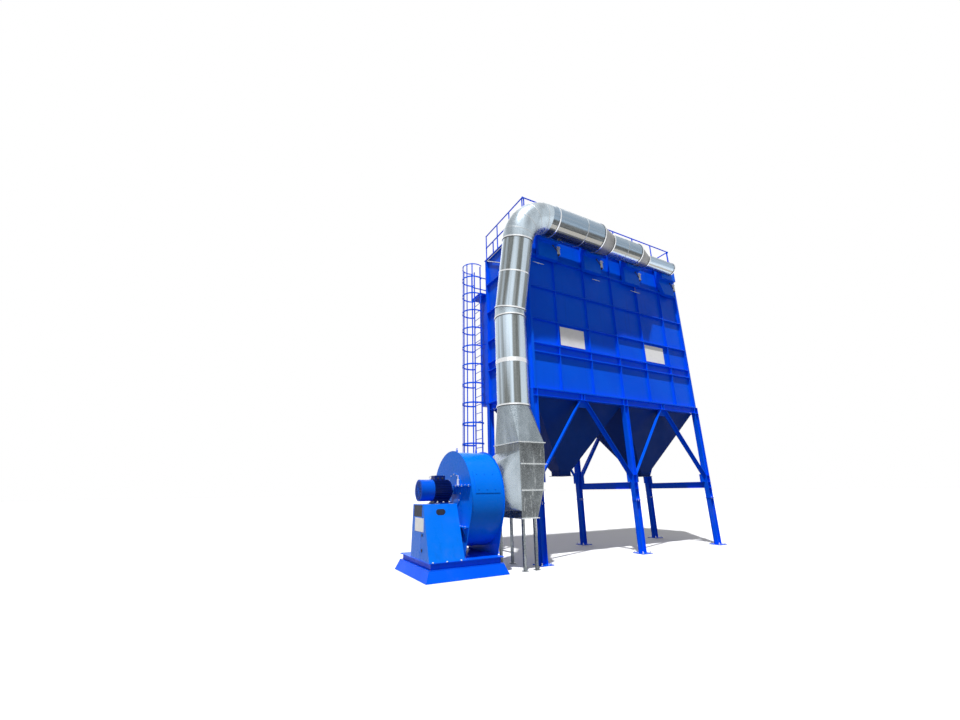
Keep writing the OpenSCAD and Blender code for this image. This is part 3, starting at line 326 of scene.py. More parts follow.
# Hoppers: the housing blue made much darker, as painted shade under the housing
hopper_painted_shade = enamel("hopper_painted_shade", (0.000, 0.028, 0.20), (0.001, 0.036, 0.24),
                       dust_share=0.12, rough=0.40)
# Motor: bright cowl, and from the cowl's right end on a dark navy painted as the shade of the
# finned body
motor_enamel = enamel("motor_enamel", (0.000, 0.095, 0.66), (0.001, 0.11, 0.70),
                      dust_share=0.15, rough=0.25,
                      shade_beyond=(in_frame(COWL_RIGHT, 0, 0).x, (0.003, 0.018, 0.16)))

UPRIGHT_TURN, LEANING_TURN, LEVEL_TURN = (0, 0, 0), (LEAN, 0, 0), (0, math.pi / 2, 0)
upright_zinc = round_zinc("upright_zinc", in_frame(DUCT_X, DUCT_Y, 0), UPRIGHT_TURN, DUCT_R,
                          dull=-0.02)
leaning_zinc = round_zinc("leaning_zinc", in_frame(DUCT_X, DUCT_Y, LEAN_Z), LEANING_TURN, DUCT_R,
                          dull=-0.03)
large_zinc = round_zinc("large_zinc", in_frame(0, HEADER_Y, HEADER_Z), LEVEL_TURN, HEADER_R,
                        dull=0.12, header=True)
middle_zinc = round_zinc("middle_zinc", in_frame(0, MIDDLE_Y, HEADER_Z), LEVEL_TURN, MIDDLE_R,
                         dull=0.10, header=True)
small_zinc = round_zinc("small_zinc", in_frame(0, SMALL_Y, HEADER_Z), LEVEL_TURN, SMALL_R,
                        dull=0.05, header=True)

elbow_zinc = flat_zinc("elbow_zinc", (0.28, 0.33, 0.37), (0.52, 0.62, 0.70),
                       metal=0.85, rough=0.22, bloom_share=0.2)
reducer_zinc = flat_zinc("reducer_zinc", (0.20, 0.20, 0.20), (0.30, 0.30, 0.30),
                         metal=0.8, rough=0.36)
panel_zinc = flat_zinc("panel_zinc", (0.065, 0.072, 0.076), (0.140, 0.158, 0.166),
                       metal=0.8, rough=0.24, bloom_share=0.15, scuffs=0.45)
plate_zinc = flat_zinc("plate_zinc", (0.19, 0.23, 0.26), (0.36, 0.42, 0.47),
                       metal=0.8, rough=0.24)
frame_zinc = flat_zinc("frame_zinc", (0.46, 0.49, 0.51), (0.60, 0.63, 0.65),
                       metal=0.6, rough=0.36)
# The inlet box carries a painted highlight along each of its flanges
box_zinc = flat_zinc("box_zinc", (0.12, 0.135, 0.142), (0.22, 0.245, 0.255),
                     metal=0.8, rough=0.26, bloom_share=0.15, scuffs=0.25,
                     lit_flange_levels=[top - BOX_FLANGE_T / 2 for top, _ in BOX_FLANGES])

# Near-black navy for dark parts, and as painted shade in hollows and behind the motor grille
dark_navy_and_shade = plain_finish("dark_navy_and_shade", (0.004, 0.006, 0.020), rough=0.6)
bolt_steel = plain_finish("bolt_steel", (0.72, 0.73, 0.73), rough=0.34, metal=0.8, grimy=0.76)
sign_white = plain_finish("sign_white", (0.90, 0.90, 0.90), rough=0.4, grimy=0.94)
housing_white = plain_finish("housing_white", (0.78, 0.79, 0.79), rough=0.42, grimy=0.82)
seal_black = plain_finish("seal_black", (0.018, 0.018, 0.02), rough=0.7)

SLOT_FINISHES = {
    "blue_paint": blue_enamel,
    "hopper_paint": hopper_painted_shade,
    "motor_paint": motor_enamel,
    "actuator_white": housing_white,
    "galvanised": plate_zinc,
}
NODE_FINISHES = {
    "fan_casing": fan_enamel,
    "fan_pedestal": fan_enamel,
    "lower_duct": upright_zinc,
    "leaning_duct": leaning_zinc,
    "duct_bend": elbow_zinc,
    "duct_elbow": elbow_zinc,
    "header_large": large_zinc,
    "header_middle": middle_zinc,
    "header_small": small_zinc,
    "header_reducers": reducer_zinc,
    "inlet_box": box_zinc,
    "outlet_boots": boot_painted_sunlight,
    "landing": blue_enamel,
}

slot_of = {row["node"]: row["material_slot"] for row in frame["record"]["subparts"]}
for node_name, node_piece in frame["nodes"].items():
    node_finish = NODE_FINISHES.get(node_name, SLOT_FINISHES[slot_of[node_name]])
    node_piece.data.materials.clear()
    node_piece.data.materials.append(node_finish)


# Making: helpers

def clear_selection():
    if bpy.context.mode != "OBJECT":
        bpy.ops.object.mode_set(mode="OBJECT")
    bpy.ops.object.select_all(action="DESELECT")


def select_only(pieces):
    """Object mode, with these pieces selected and the first of them active."""
    clear_selection()
    for piece in pieces:
        piece.select_set(True)
    bpy.context.view_layer.objects.active = pieces[0]


def settle():
    """Puts the place, turn and size of the piece just made into its mesh."""
    bpy.ops.object.transform_apply(location=True, rotation=True, scale=True)
    return bpy.context.active_object


def edit_all():
    """Edit mode, with the whole piece selected."""
    bpy.ops.object.mode_set(mode="EDIT")
    bpy.ops.mesh.select_all(action="SELECT")


def edit_some(piece, kind, wanted):
    """Edit mode, with only the faces (FACE) or points (VERT) selected that wanted picks out."""
    bpy.ops.object.mode_set(mode="EDIT")
    bpy.ops.mesh.select_mode(type=kind)
    bpy.ops.mesh.select_all(action="DESELECT")
    bpy.ops.object.mode_set(mode="OBJECT")
    for item in piece.data.polygons if kind == "FACE" else piece.data.vertices:
        item.select = wanted(item)
    bpy.ops.object.mode_set(mode="EDIT")


def end_edit():
    bpy.ops.object.mode_set(mode="OBJECT")


def block(low, high, edge=0.002):
    """Bar or plate from corner to corner, with its edges broken."""
    clear_selection()
    low, high = Vector(low), Vector(high)
    bpy.ops.mesh.primitive_cube_add(size=1, location=(low + high) / 2)
    bpy.context.active_object.scale = high - low
    piece = settle()
    edit_all()
    bpy.ops.mesh.bevel(offset=edge, segments=1, affect="EDGES")
    end_edit()
    return piece


def rod(start, end, radius, sides, edge=0.002):
    """Round or many-sided bar from start to end, with both ends chamfered."""
    clear_selection()
    start, end = Vector(start), Vector(end)
    run = end - start
    bpy.ops.mesh.primitive_cylinder_add(
        vertices=sides, radius=radius, depth=run.length, location=(start + end) / 2,
        rotation=run.to_track_quat("Z", "Y").to_euler())
    piece = settle()
    if edge:
        edit_some(piece, "FACE", lambda face: len(face.vertices) == sides)
        bpy.ops.mesh.bevel(offset=edge, segments=1, affect="EDGES")
        end_edit()
    return piece


def hoop(middle, direction, radius, width, proud):
    """Flat bead round a duct: a torus drawn out along the duct."""
    clear_selection()
    bpy.ops.mesh.primitive_torus_add(
        major_radius=radius, minor_radius=proud, major_segments=56, minor_segments=6,
        location=middle, rotation=Vector(direction).to_track_quat("Z", "Y").to_euler())
    bpy.context.active_object.scale = (1, 1, width / (2 * proud))
    return settle()


def joined(pieces):
    select_only(pieces)
    bpy.ops.object.join()
    return pieces[0]


def repeated(model, places):
    """One piece made of a copy of the model at each place."""
    made = []
    for place in places:
        twin = model.copy()
        twin.data = model.data.copy()
        twin.data.transform(place)
        bpy.context.scene.collection.objects.link(twin)
        made.append(twin)
    bpy.data.objects.remove(model)
    return joined(made)


def facing(point, direction, size=1.0):
    """Place of a small part that stands on point and looks along direction."""
    turn = Vector(direction).to_track_quat("Z", "Y").to_matrix().to_4x4()
    return Matrix.Translation(point) @ turn @ Matrix.Scale(size, 4)


def keep(piece, name, finish, smooth_to=None):
    """Names and finishes a piece, moves its mesh into the shared frame and rides it.

    Edges that turn less than smooth_to degrees are shaded smooth."""
    piece.name = name
    piece.data.name = name
    piece.data.materials.clear()
    piece.data.materials.append(finish)
    piece.data.transform(Matrix.Translation(SHIFT))
    if smooth_to:
        select_only([piece])
        bpy.ops.object.shade_smooth_by_angle(angle=math.radians(smooth_to))
    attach(piece, "root")


def steps(start, end, count):
    """Values from start to end, evenly spaced."""
    return [start + (end - start) * i / (count - 1) for i in range(count)]


def spokes(count, level, first=0.0):
    """Directions round a circle that lies level, or upright across X, from the step first on."""
    made = []
    for i in range(count):
        t = 2 * math.pi * (i + first) / count
        c, s = math.cos(t), math.sin(t)
        made.append(Vector((c, s, 0) if level else (0, c, s)))
    return made


def four_round(points, side, depth):
    """Four points round each point, side to its left and right and depth before and behind it."""
    return [(x + sx * side, y + sy * depth) for x, y in points for sx in (-1, 1) for sy in (-1, 1)]


# Bolts: a hexagon head on its washer

WASHER_R, WASHER_T, HEAD_R, HEAD_TOP = 0.017, 0.003, 0.0138, 0.013


def bolt():
    washer = rod((0, 0, 0), (0, 0, WASHER_T), WASHER_R, sides=10, edge=0)
    head = rod((0, 0, WASHER_T), (0, 0, HEAD_TOP), HEAD_R, sides=6, edge=0.0015)
    return joined([washer, head])


def bolts(name, places, finish=bolt_steel):
    keep(repeated(bolt(), places), name, finish)


def through(points, high_z, low_z, size=1.0):
    """Places of a head above high_z and a nut below low_z at each (x, y)."""
    heads = [facing((x, y, high_z), UP, size) for x, y in points]
    return heads + [facing((x, y, low_z), DOWN, size) for x, y in points]


# Housing: the bolted joints under the plenum and over the frame beams

BOLT_OUT = 0.045
joint_points = [(x, y) for x in steps(-3.4, 3.4, 45) for y in (-BOLT_OUT, DEPTH + BOLT_OUT)]
joint_points += [(x, y) for y in steps(0.1, DEPTH - 0.1, 14)
                 for x in (-HALF_W - BOLT_OUT, HALF_W + BOLT_OUT)]
bolts("plenum_joint_bolts", through(joint_points, PLENUM_Z + 0.030, PLENUM_Z - 0.030),
      blue_enamel)
foot_points = [(x, y) for x in steps(-3.35, 3.35, 28) for y in (-BOLT_OUT, DEPTH + BOLT_OUT)]
bolts("casing_foot_bolts", through(foot_points, CASING_Z + 0.030, CASING_Z - 0.012),
      blue_enamel)

# Two bare plates on the front, on spacers, with a screw in each corner

SIGN_HALF_W, SIGN_HALF_H, SIGN_T, SIGN_Y, SCREW_IN = 0.480, 0.300, 0.003, -0.012, 0.040
sign_middles = [(-1.915, 6.235), (1.800, 6.240)]
signs = [block((x - SIGN_HALF_W, SIGN_Y - SIGN_T, z - SIGN_HALF_H),
               (x + SIGN_HALF_W, SIGN_Y, z + SIGN_HALF_H), edge=0.001) for x, z in sign_middles]
keep(joined(signs), "front_signs", sign_white)
screw_points = four_round(sign_middles, SIGN_HALF_W - SCREW_IN, SIGN_HALF_H - SCREW_IN)
bolts("sign_screws", [facing((x, SIGN_Y - SIGN_T, z), FRONT, 0.5) for x, z in screw_points])
spacer = rod((0, 0, 0), (0, 0, -SIGN_Y), 0.008, sides=8, edge=0.001)
keep(repeated(spacer, [facing((x, 0, z), FRONT) for x, z in screw_points]),
     "sign_spacers", bolt_steel)

# Legs: splice bolts, anchors, and the bolts of the brace gussets

SPLICE_TOP, SPLICE_UNDER, ANCHOR_Z = 1.452, 1.428, 0.020
legs = [(x, y) for x in (-3.5, 0.0, 3.5) for y in (LEG_Y, BACK_LEG_Y)]
splice_points = four_round(legs, 0.042, 0.042)
bolts("leg_splice_bolts", through(splice_points, SPLICE_TOP, SPLICE_UNDER, size=1.2))
anchor_points = four_round(legs, 0.15, 0.15)
bolts("anchor_nuts", [facing((x, y, ANCHOR_Z), UP, 1.5) for x, y in anchor_points])
stud = rod((0, 0, 0.001), (0, 0, 0.075), 0.011, sides=10)
keep(repeated(stud, [facing((x, y, 0), UP) for x, y in anchor_points]),
     "anchor_studs", bolt_steel)

# A brace starts at BRACE_TOP, BRACE_OUT from the middle of its bay, and drops by BRACE_DROP.
# Its bolts lie this far along it from its top and from its foot.
BRACE_TOP, BRACE_OUT, BRACE_DROP = 4.215, 0.100, 2.265
FROM_TOP, FROM_FOOT = (0.13, 0.21), (0.46, 0.38, 0.30)


def brace_bolt_places(middle, plane, reach, look):
    """Bolts near both ends of the two braces of a bay, whose feet stand reach further out.

    The bay lies in a plane across Y if it looks to the front or back, and otherwise across X."""
    run = Vector((reach, -BRACE_DROP))
    slope = run.normalized()
    places = []
    for far in FROM_TOP + tuple(run.length - away for away in FROM_FOOT):
        along, z = BRACE_OUT + slope.x * far, BRACE_TOP + slope.y * far
        for side in (-1, 1):
            across = middle + side * along
            point = (across, plane, z) if look in (FRONT, BACK) else (plane, across, z)
            places.append(facing(point, look))
    return places


brace_places = []
for bay in (-1.75, 1.75):
    brace_places += brace_bolt_places(bay, 0.012, 1.665, FRONT)
    brace_places += brace_bolt_places(bay, 2.418, 1.665, BACK)
brace_places += brace_bolt_places(DEPTH / 2, -3.493, 1.145, LEFT)
brace_places += brace_bolt_places(DEPTH / 2, 3.493, 1.145, RIGHT)
bolts("brace_bolts", brace_places, blue_enamel)

# Roof: post feet, corner fittings of the handrail, and toe boards

RAIL_X, RAIL_FRONT, RAIL_BACK = 3.536, -0.021, 2.451
RAIL_RISES = (0.525, 1.018)
POST_FOOT_T = 0.008
post_places = [(x, RAIL_FRONT) for x in steps(-3.494, 3.494, 8)]
post_places += [(x, RAIL_BACK) for x in steps(-2.612, 3.494, 8)]
post_places += [(x, y) for y in steps(0.021, 2.409, 4) for x in (-RAIL_X, RAIL_X)]
foot = block((-0.05, -0.04, 0), (0.05, 0.04, POST_FOOT_T))
keep(repeated(foot, [facing((x, y, ROOF_Z), UP) for x, y in post_places]),
     "post_feet", blue_enamel)
bolts("post_foot_bolts",
      [facing((x + side, y, ROOF_Z + POST_FOOT_T), UP, 0.7) for x, y in post_places
       for side in (-0.036, 0.036)], blue_enamel)

corner_points = [(-RAIL_X, RAIL_FRONT), (RAIL_X, RAIL_FRONT), (RAIL_X, RAIL_BACK)]
fitting = rod((0, 0, -0.032), (0, 0, 0.032), 0.030, sides=16, edge=0.010)
keep(repeated(fitting, [facing((x, y, ROOF_Z + rise), UP) for x, y in corner_points
                        for rise in RAIL_RISES]),
     "rail_corner_fittings", blue_enamel, smooth_to=40)

# A toe board's height, and how far its two faces lie in from the edge of the roof
BOARD_H, BOARD_NEAR, BOARD_FAR = 0.100, 0.002, 0.008


def toe_board(left, right, front, back):
    return block((left, front, ROOF_Z), (right, back, ROOF_Z + BOARD_H))


boards = [toe_board(-HALF_W, HALF_W, BOARD_NEAR, BOARD_FAR),
          toe_board(-2.6, HALF_W, DEPTH - BOARD_FAR, DEPTH - BOARD_NEAR),
          toe_board(BOARD_NEAR - HALF_W, BOARD_FAR - HALF_W, 0.01, DEPTH - 0.01),
          toe_board(HALF_W - BOARD_FAR, HALF_W - BOARD_NEAR, 0.01, DEPTH - 0.01)]
keep(joined(boards), "toe_boards", blue_enamel)

# Hatches: grips, clamps and seals

# Four in a row, in steps from the middle
IN_FOUR = (-1.5, -0.5, 0.5, 1.5)
HATCH_Z = ROOF_Z + 0.050
HATCH_PITCH, HATCH_OFF = 1.4, 0.485
GRIP_HALF, GRIP_H, GRIP_R = 0.09, 0.045, 0.008
hatches = [(i * HATCH_PITCH, DEPTH / 2 + side * HATCH_OFF) for i in IN_FOUR for side in (-1, 1)]
grip = joined([rod((-GRIP_HALF, 0, GRIP_H), (GRIP_HALF, 0, GRIP_H), GRIP_R, sides=8),
               rod((-GRIP_HALF, 0, 0), (-GRIP_HALF, 0, GRIP_H + 0.005), GRIP_R, sides=8),
               rod((GRIP_HALF, 0, 0), (GRIP_HALF, 0, GRIP_H + 0.005), GRIP_R, sides=8)])
keep(repeated(grip, [facing((x + side, y, HATCH_Z), UP) for x, y in hatches
                     for side in (-0.36, 0.36)]),
     "hatch_grips", bolt_steel)
clamp = joined([block((-0.02, -0.045, 0), (0.02, 0.045, 0.012)),
                rod((0, -0.02, 0), (0, -0.02, 0.035), 0.009, sides=8),
                rod((0, -0.02, 0.035), (0, -0.02, 0.055), 0.020, sides=8)])
keep(repeated(clamp, [facing((x + side, y + depth, HATCH_Z), UP) for x, y in hatches
                      for side in (-0.45, 0, 0.45) for depth in (-0.40, 0.40)]),
     "hatch_clamps", bolt_steel)
seal = block((-0.604, -0.429, 0), (0.604, 0.429, 0.010))
keep(repeated(seal, [facing((x, y, ROOF_Z - 0.001), UP) for x, y in hatches]),
     "hatch_seals", seal_black)

# Galvanised frame with its diagonal at the left edge of the roof, behind the duct

FRAME_X, FRAME_R = -3.560, 0.017
stays = [rod((FRAME_X, *start), (FRAME_X, *end), FRAME_R, sides=10) for start, end in (
    ((1.17, 9.79), (2.32, 9.79)), ((1.22, 9.10), (2.30, 9.76)), ((1.20, 9.08), (1.20, 9.80)))]
keep(joined(stays), "roof_edge_frame", frame_zinc, smooth_to=40)

# Gratings of the landing and of the roof

BAR_H, BAR_PITCH, ROD_R, ROD_PITCH = 0.012, 0.033, 0.003, 0.1


def grating(name, low, high, z):
    """Bars on edge from left to right, with rods across them, on the solid deck."""
    (left, front), (right, back) = low, high
    bars = repeated(block((left, -0.002, 0), (right, 0.002, BAR_H), edge=0.0008),
                    [Matrix.Translation((0, y, z))
                     for y in steps(front, back, int((back - front) / BAR_PITCH))])
    rods = repeated(rod((0, front, 0), (0, back, 0), ROD_R, sides=6, edge=0),
                    [Matrix.Translation((x, 0, z + BAR_H - ROD_R))
                     for x in steps(left, right, int((right - left) / ROD_PITCH))])
    keep(joined([bars, rods]), name, plate_zinc)


grating("landing_grating", (-3.760, 2.530), (-1.880, 3.150), 8.540)
grating("roof_grating_bars", (-3.380, 1.290), (-2.800, 2.370), ROOF_Z + 0.040)

# Outlet boots: brackets under them, levers, actuators and bolts

BRACKET_Y = -0.088
brackets = []
for left, right, z in ((-3.32, -2.91, 8.52), (-0.88, -0.53, 8.52), (0.94, 1.42, 8.51)):
    middle = (left + right) / 2
    brackets.append(rod((left, BRACKET_Y, z), (right, BRACKET_Y, z), 0.010, sides=10))
    brackets.append(block((middle - 0.03, BRACKET_Y, z - 0.02),
                          (middle + 0.03, 0.001 - RIB, z + 0.02)))
brackets.append(rod((1.18, BRACKET_Y, 8.51), (1.18, BRACKET_Y - 0.004, 8.712), 0.008, sides=8))
keep(joined(brackets), "boot_brackets", plate_zinc, smooth_to=40)

BOOT_PITCH, BOOT_FRONT = 1.87, -0.230
boot_middles = [i * BOOT_PITCH for i in IN_FOUR]
at_boots = [Matrix.Translation((x, 0, 0)) for x in boot_middles]
lever = joined([
    rod((0.36, BOOT_FRONT - 0.012, 9.06), (0.20, BOOT_FRONT - 0.012, 9.22), 0.012, sides=8),
    rod((0.20, BOOT_FRONT + 0.002, 9.22), (0.20, BOOT_FRONT - 0.030, 9.22), 0.022, sides=12),
    rod((0.36, BOOT_FRONT + 0.002, 9.06), (0.36, BOOT_FRONT - 0.026, 9.06), 0.016, sides=10)])
keep(repeated(lever, at_boots), "damper_levers", dark_navy_and_shade, smooth_to=40)
cap = rod((0.463, -0.155, 8.970), (0.463, -0.155, 8.991), 0.055, sides=20, edge=0.004)
keep(repeated(cap, at_boots), "actuator_caps", seal_black, smooth_to=40)
strap = block((0.371, BOOT_FRONT + 0.012, 9.22), (0.540, BOOT_FRONT + 0.150, 9.25), edge=0.004)
keep(repeated(strap, at_boots), "actuator_straps", frame_zinc)
# Bolts on the fronts of the first three boots
bolts("boot_bolts", [facing((x + side, BOOT_FRONT, z), FRONT, 0.6) for x in boot_middles[:3]
                     for side in (-0.33, 0.33) for z in (8.76, 8.90, 9.04)],
      boot_painted_sunlight)

# Duct: seams across the elbow, collars of the header, and painted shadow lines beside flange rings

lean_turn = Matrix.Rotation(LEAN, 3, "X")
along_lean = lean_turn @ Vector(UP)
elbow_start = Vector((DUCT_X, HEADER_Y, HEADER_Z))
lean_start = Vector((DUCT_X, DUCT_Y, LEAN_Z))
seams = []
for degrees in (11, 34, 56, 79):
    t = math.radians(degrees)
    middle = ELBOW_R * Vector((1 - math.cos(t), 0, math.sin(t) - 1))
    along = Vector((math.sin(t), 0, math.cos(t)))
    seams.append(hoop(elbow_start + lean_turn @ middle, lean_turn @ along, HEADER_R,
                      width=0.022, proud=0.006))
keep(joined(seams), "elbow_seams", frame_zinc, smooth_to=60)

collars = [
    hoop((-1.850, HEADER_Y, HEADER_Z), RIGHT, HEADER_R, width=0.030, proud=0.012),
    hoop((0.150, MIDDLE_Y, HEADER_Z), RIGHT, MIDDLE_R, width=0.022, proud=0.008),
    hoop((2.832, SMALL_Y, HEADER_Z), RIGHT, SMALL_R, width=0.034, proud=0.016)]
keep(joined(collars), "header_collars", frame_zinc, smooth_to=60)


# Thin black bands beside the flange rings, painted as the rings' shadow
def ring_shadow_line(middle, direction, radius):
    return hoop(middle, direction, radius, width=0.014, proud=0.006)


ring_shadow_lines = [ring_shadow_line((x, y, HEADER_Z), RIGHT, radius) for y, radius, places in (
    (HEADER_Y, HEADER_R, (-2.943, -1.152, -1.098)),
    (MIDDLE_Y, MIDDLE_R, (-0.537, 0.783, 0.837)),
    (SMALL_Y, SMALL_R, (1.453, 2.803))) for x in places]
ring_shadow_lines += [ring_shadow_line((DUCT_X, DUCT_Y, z), UP, DUCT_R) for z in (3.893, 6.472)]
ring_shadow_lines.append(ring_shadow_line(elbow_start - 0.948 * along_lean, along_lean, DUCT_R))
ring_shadow_lines.append(ring_shadow_line(lean_start + 0.123 * along_lean, along_lean, DUCT_R))
keep(joined(ring_shadow_lines), "duct_ring_shadows", seal_black, smooth_to=60)

SEAM_HALF = 0.007


def lock_seam(length, radius, degrees, start, turn):
    """Folded seam along a duct from start, at an angle round it from the duct's own X."""
    piece = block((radius - 0.002, -SEAM_HALF, 0), (radius + 0.004, SEAM_HALF, length), edge=0.001)
    round_duct = Matrix.Rotation(math.radians(degrees), 4, "Z")
    piece.data.transform(Matrix.Translation(start) @ turn @ round_duct)
    return piece


upright, leaning = Matrix.Identity(4), lean_turn.to_4x4()
level = Matrix.Rotation(math.pi / 2, 4, "Y")
lock_seams = [
    lock_seam(2.54, DUCT_R, -62, (DUCT_X, DUCT_Y, 3.94), upright),
    lock_seam(1.95, DUCT_R, -48, lean_start + 0.17 * along_lean, leaning),
    lock_seam(1.80, HEADER_R, -135, (-2.95, HEADER_Y, HEADER_Z), level),
    lock_seam(1.28, MIDDLE_R, -120, (-0.49, MIDDLE_Y, HEADER_Z), level),
    lock_seam(1.31, SMALL_R, -130, (1.50, SMALL_Y, HEADER_Z), level)]
keep(joined(lock_seams), "duct_lock_seams", plate_zinc)

# Rivets round the sleeve, and the closing bolts of two flange rings

rivet = rod((0, 0, -0.001), (0, 0, 0.004), 0.007, sides=8)
keep(repeated(rivet, [facing(Vector((DUCT_X, DUCT_Y, z)) + (DUCT_R + 0.008) * out, out)
                      for z in (5.115, 5.185) for out in spokes(22, level=True)]),
     "sleeve_rivets", bolt_steel)
bolts("duct_ring_bolts", [facing(Vector((DUCT_X, DUCT_Y, z)) + (DUCT_R + 0.011) * out, UP, 0.5)
                          for z in (6.520, 3.940)
                          for out in spokes(12, level=True, first=0.5)])

# Inlet box: cross-broken panels between the flanges, and the flange bolts


def broken_panel(low, high, y, slant, look):
    """Sheet with its diagonals pressed out, on the front (look -1) or the back (look 1).

    Its lower right corner is drawn in by slant."""
    clear_selection()
    middle = ((low[0] + high[0]) / 2, y, (low[1] + high[1]) / 2)
    bpy.ops.mesh.primitive_plane_add(size=1, location=middle, rotation=(-look * math.pi / 2, 0, 0))
    bpy.context.active_object.scale = (high[0] - low[0], high[1] - low[1], 1)
    piece = settle()
    edit_some(piece, "VERT", lambda point: point.co.x > middle[0] and point.co.z < middle[2])
    bpy.ops.transform.translate(value=(-slant, 0, 0))
    bpy.ops.mesh.select_all(action="SELECT")
    bpy.ops.mesh.poke(offset=0.014)
    bpy.ops.mesh.extrude_region_move(TRANSFORM_OT_translate={"value": (0, -look * 0.004, 0)})
    bpy.ops.mesh.select_all(action="SELECT")
    bpy.ops.mesh.normals_make_consistent(inside=False)
    end_edit()
    return piece


# How far a panel stays in from the sides of its face, and how far it stands off the face
PANEL_IN, PANEL_OFF = 0.030, 0.001
panels = []
for low_z, high_z, right, slant in ((2.410, 2.880, BOX_RIGHT, 0.0),
                                    (1.790, 2.350, -3.646, 0.085),
                                    (1.160, 1.730, -3.752, 0.175)):
    low, high = (BOX_LEFT + PANEL_IN, low_z), (right - PANEL_IN, high_z)
    panels.append(broken_panel(low, high, BOX_FRONT - PANEL_OFF, slant, look=-1))
    panels.append(broken_panel(low, high, BOX_BACK + PANEL_OFF, slant, look=1))
keep(joined(panels), "box_panels", panel_zinc)

# From the sides of the box out to its bolts, and the bolt circle of the inlet cone
LIP, CONE_BOLTS_R = 0.0175, 0.541
flange_places = []
for top, right in BOX_FLANGES:
    points = [(x, y) for x in steps(BOX_LEFT + 0.04, right - 0.02, 7)
              for y in (BOX_FRONT - LIP, BOX_BACK + LIP)]
    points += [(right + LIP, y) for y in steps(BOX_FRONT + 0.04, BOX_BACK - 0.04, 10)]
    flange_places += through(points, top, top - BOX_FLANGE_T, size=0.5)
cone_ring = Vector((FAN_RIGHT + 0.020, SHAFT_Y, SHAFT_Z))
flange_places += [facing(cone_ring + CONE_BOLTS_R * out, RIGHT, 0.5)
                  for out in spokes(20, level=False)]
bolts("box_flange_bolts", flange_places)

# Fan: back plate, split flanges, door and sensor


def on_shaft(x):
    """The middle of the fan's shaft at x."""
    return Vector((x, SHAFT_Y, SHAFT_Z))


PLATE_X, PLATE_R, PLATE_BOLTS_R = FAN_LEFT - 0.010, 0.400, 0.365
back_plate = rod(on_shaft(FAN_LEFT + 0.001), on_shaft(PLATE_X), PLATE_R, sides=56, edge=0.003)
boss = rod(on_shaft(FAN_LEFT), on_shaft(FAN_LEFT - 0.050), 0.100, sides=32, edge=0.006)
keep(joined([back_plate, boss]), "fan_back_plate", fan_enamel, smooth_to=40)

SPLIT_X, SPLIT_T = FAN_LEFT - 0.055, 0.020
plate_places = [facing(on_shaft(PLATE_X) + PLATE_BOLTS_R * out, LEFT)
                for out in spokes(14, level=False, first=0.5)]
for z, front in ((1.890, -0.50), (1.010, -0.32)):
    split_points = [(SPLIT_X, y) for y in steps(front, 0.20, 5)]
    plate_places += through(split_points, z, z - SPLIT_T, size=0.9)
bolts("fan_plate_bolts", plate_places)

door_places = []
for degrees in (10.3, 28.6):
    t = math.radians(degrees)
    out = Vector((0, -math.cos(t), math.sin(t)))
    door_places += [facing(Vector((x, SCROLL_Y, SCROLL_Z)) + (SCROLL_R + 0.012) * out, out, 0.9)
                    for x in (-5.560, -5.348, -5.135)]
bolts("fan_door_bolts", door_places, fan_enamel)

SENSOR = (-5.800, 0.06)
sensor = joined([rod((*SENSOR, 1.889), (*SENSOR, 1.925), 0.034, sides=20, edge=0.004),
                 rod((*SENSOR, 1.925), (*SENSOR, 2.030), 0.028, sides=20, edge=0.006),
                 rod((*SENSOR, 2.030), (*SENSOR, 2.120), 0.010, sides=10, edge=0.003)])
keep(sensor, "bearing_sensor", housing_white, smooth_to=40)

# Motor: grille over a dark disc, foot bolts and shims, terminal lid, glands and lifting eye

GRILLE_R = 0.214
shadow = rod(on_shaft(MOTOR_LEFT), on_shaft(MOTOR_LEFT - 0.002), 0.205, sides=40, edge=0.0008)
keep(shadow, "grille_shadow", dark_navy_and_shade)
grille = [hoop(on_shaft(MOTOR_LEFT - 0.006), LEFT, radius, width=0.006, proud=0.003)
          for radius in (0.05, 0.085, 0.12, 0.155, 0.19, 0.215)]
bars_middle = on_shaft(MOTOR_LEFT - 0.010)
grille += [rod(bars_middle - GRILLE_R * out, bars_middle + GRILLE_R * out, 0.003, sides=6, edge=0)
           for out in spokes(16, level=False)[:8]]
keep(joined(grille), "motor_grille", motor_enamel, smooth_to=60)

bolts("motor_foot_bolts", [facing((x, y, MOTOR_FOOT_Z), UP, 1.5)
                           for x in (-6.270, -6.120, -5.970) for y in (0.165, 0.575)])
shim = block((-0.055, -0.035, 0), (0.055, 0.035, 0.006))
keep(repeated(shim, [Matrix.Translation((x, y, MOTOR_FOOT_Z - 0.030))
                     for x in (-6.290, -5.950) for y in (0.125, 0.615)]),
     "motor_shims", frame_zinc)

LID_TOP = LID_Z + 0.012
keep(block((-6.309, 0.245, LID_Z - 0.004), (-6.059, 0.495, LID_TOP), edge=0.004),
     "terminal_lid", motor_enamel)
bolts("terminal_lid_screws", [facing((x, y, LID_TOP), UP, 0.5) for x in (-6.290, -6.078)
                              for y in (0.264, 0.476)])
glands = [rod((x, 0.241, 2.055), (x, 0.200, 2.055), 0.019, sides=12, edge=0.003)
          for x in (-6.240, -6.130)]
keep(joined(glands), "cable_glands", seal_black, smooth_to=40)
eye_x = -6.380
eye_stem = rod((eye_x, SHAFT_Y, 2.025), (eye_x, SHAFT_Y, 2.050), 0.022, sides=12, edge=0.003)
eye_ring = hoop((eye_x, SHAFT_Y, 2.078), FRONT, 0.026, width=0.016, proud=0.008)
keep(joined([eye_stem, eye_ring]), "lifting_eye", bolt_steel, smooth_to=60)

# Pedestal: painted shade of a side hollow and of an oval hand hole, bare plate, seams, latches

HAND_HOLE_X, HAND_HOLE_Z, HAND_HOLE_LONG = -6.3275, 1.320, 0.100
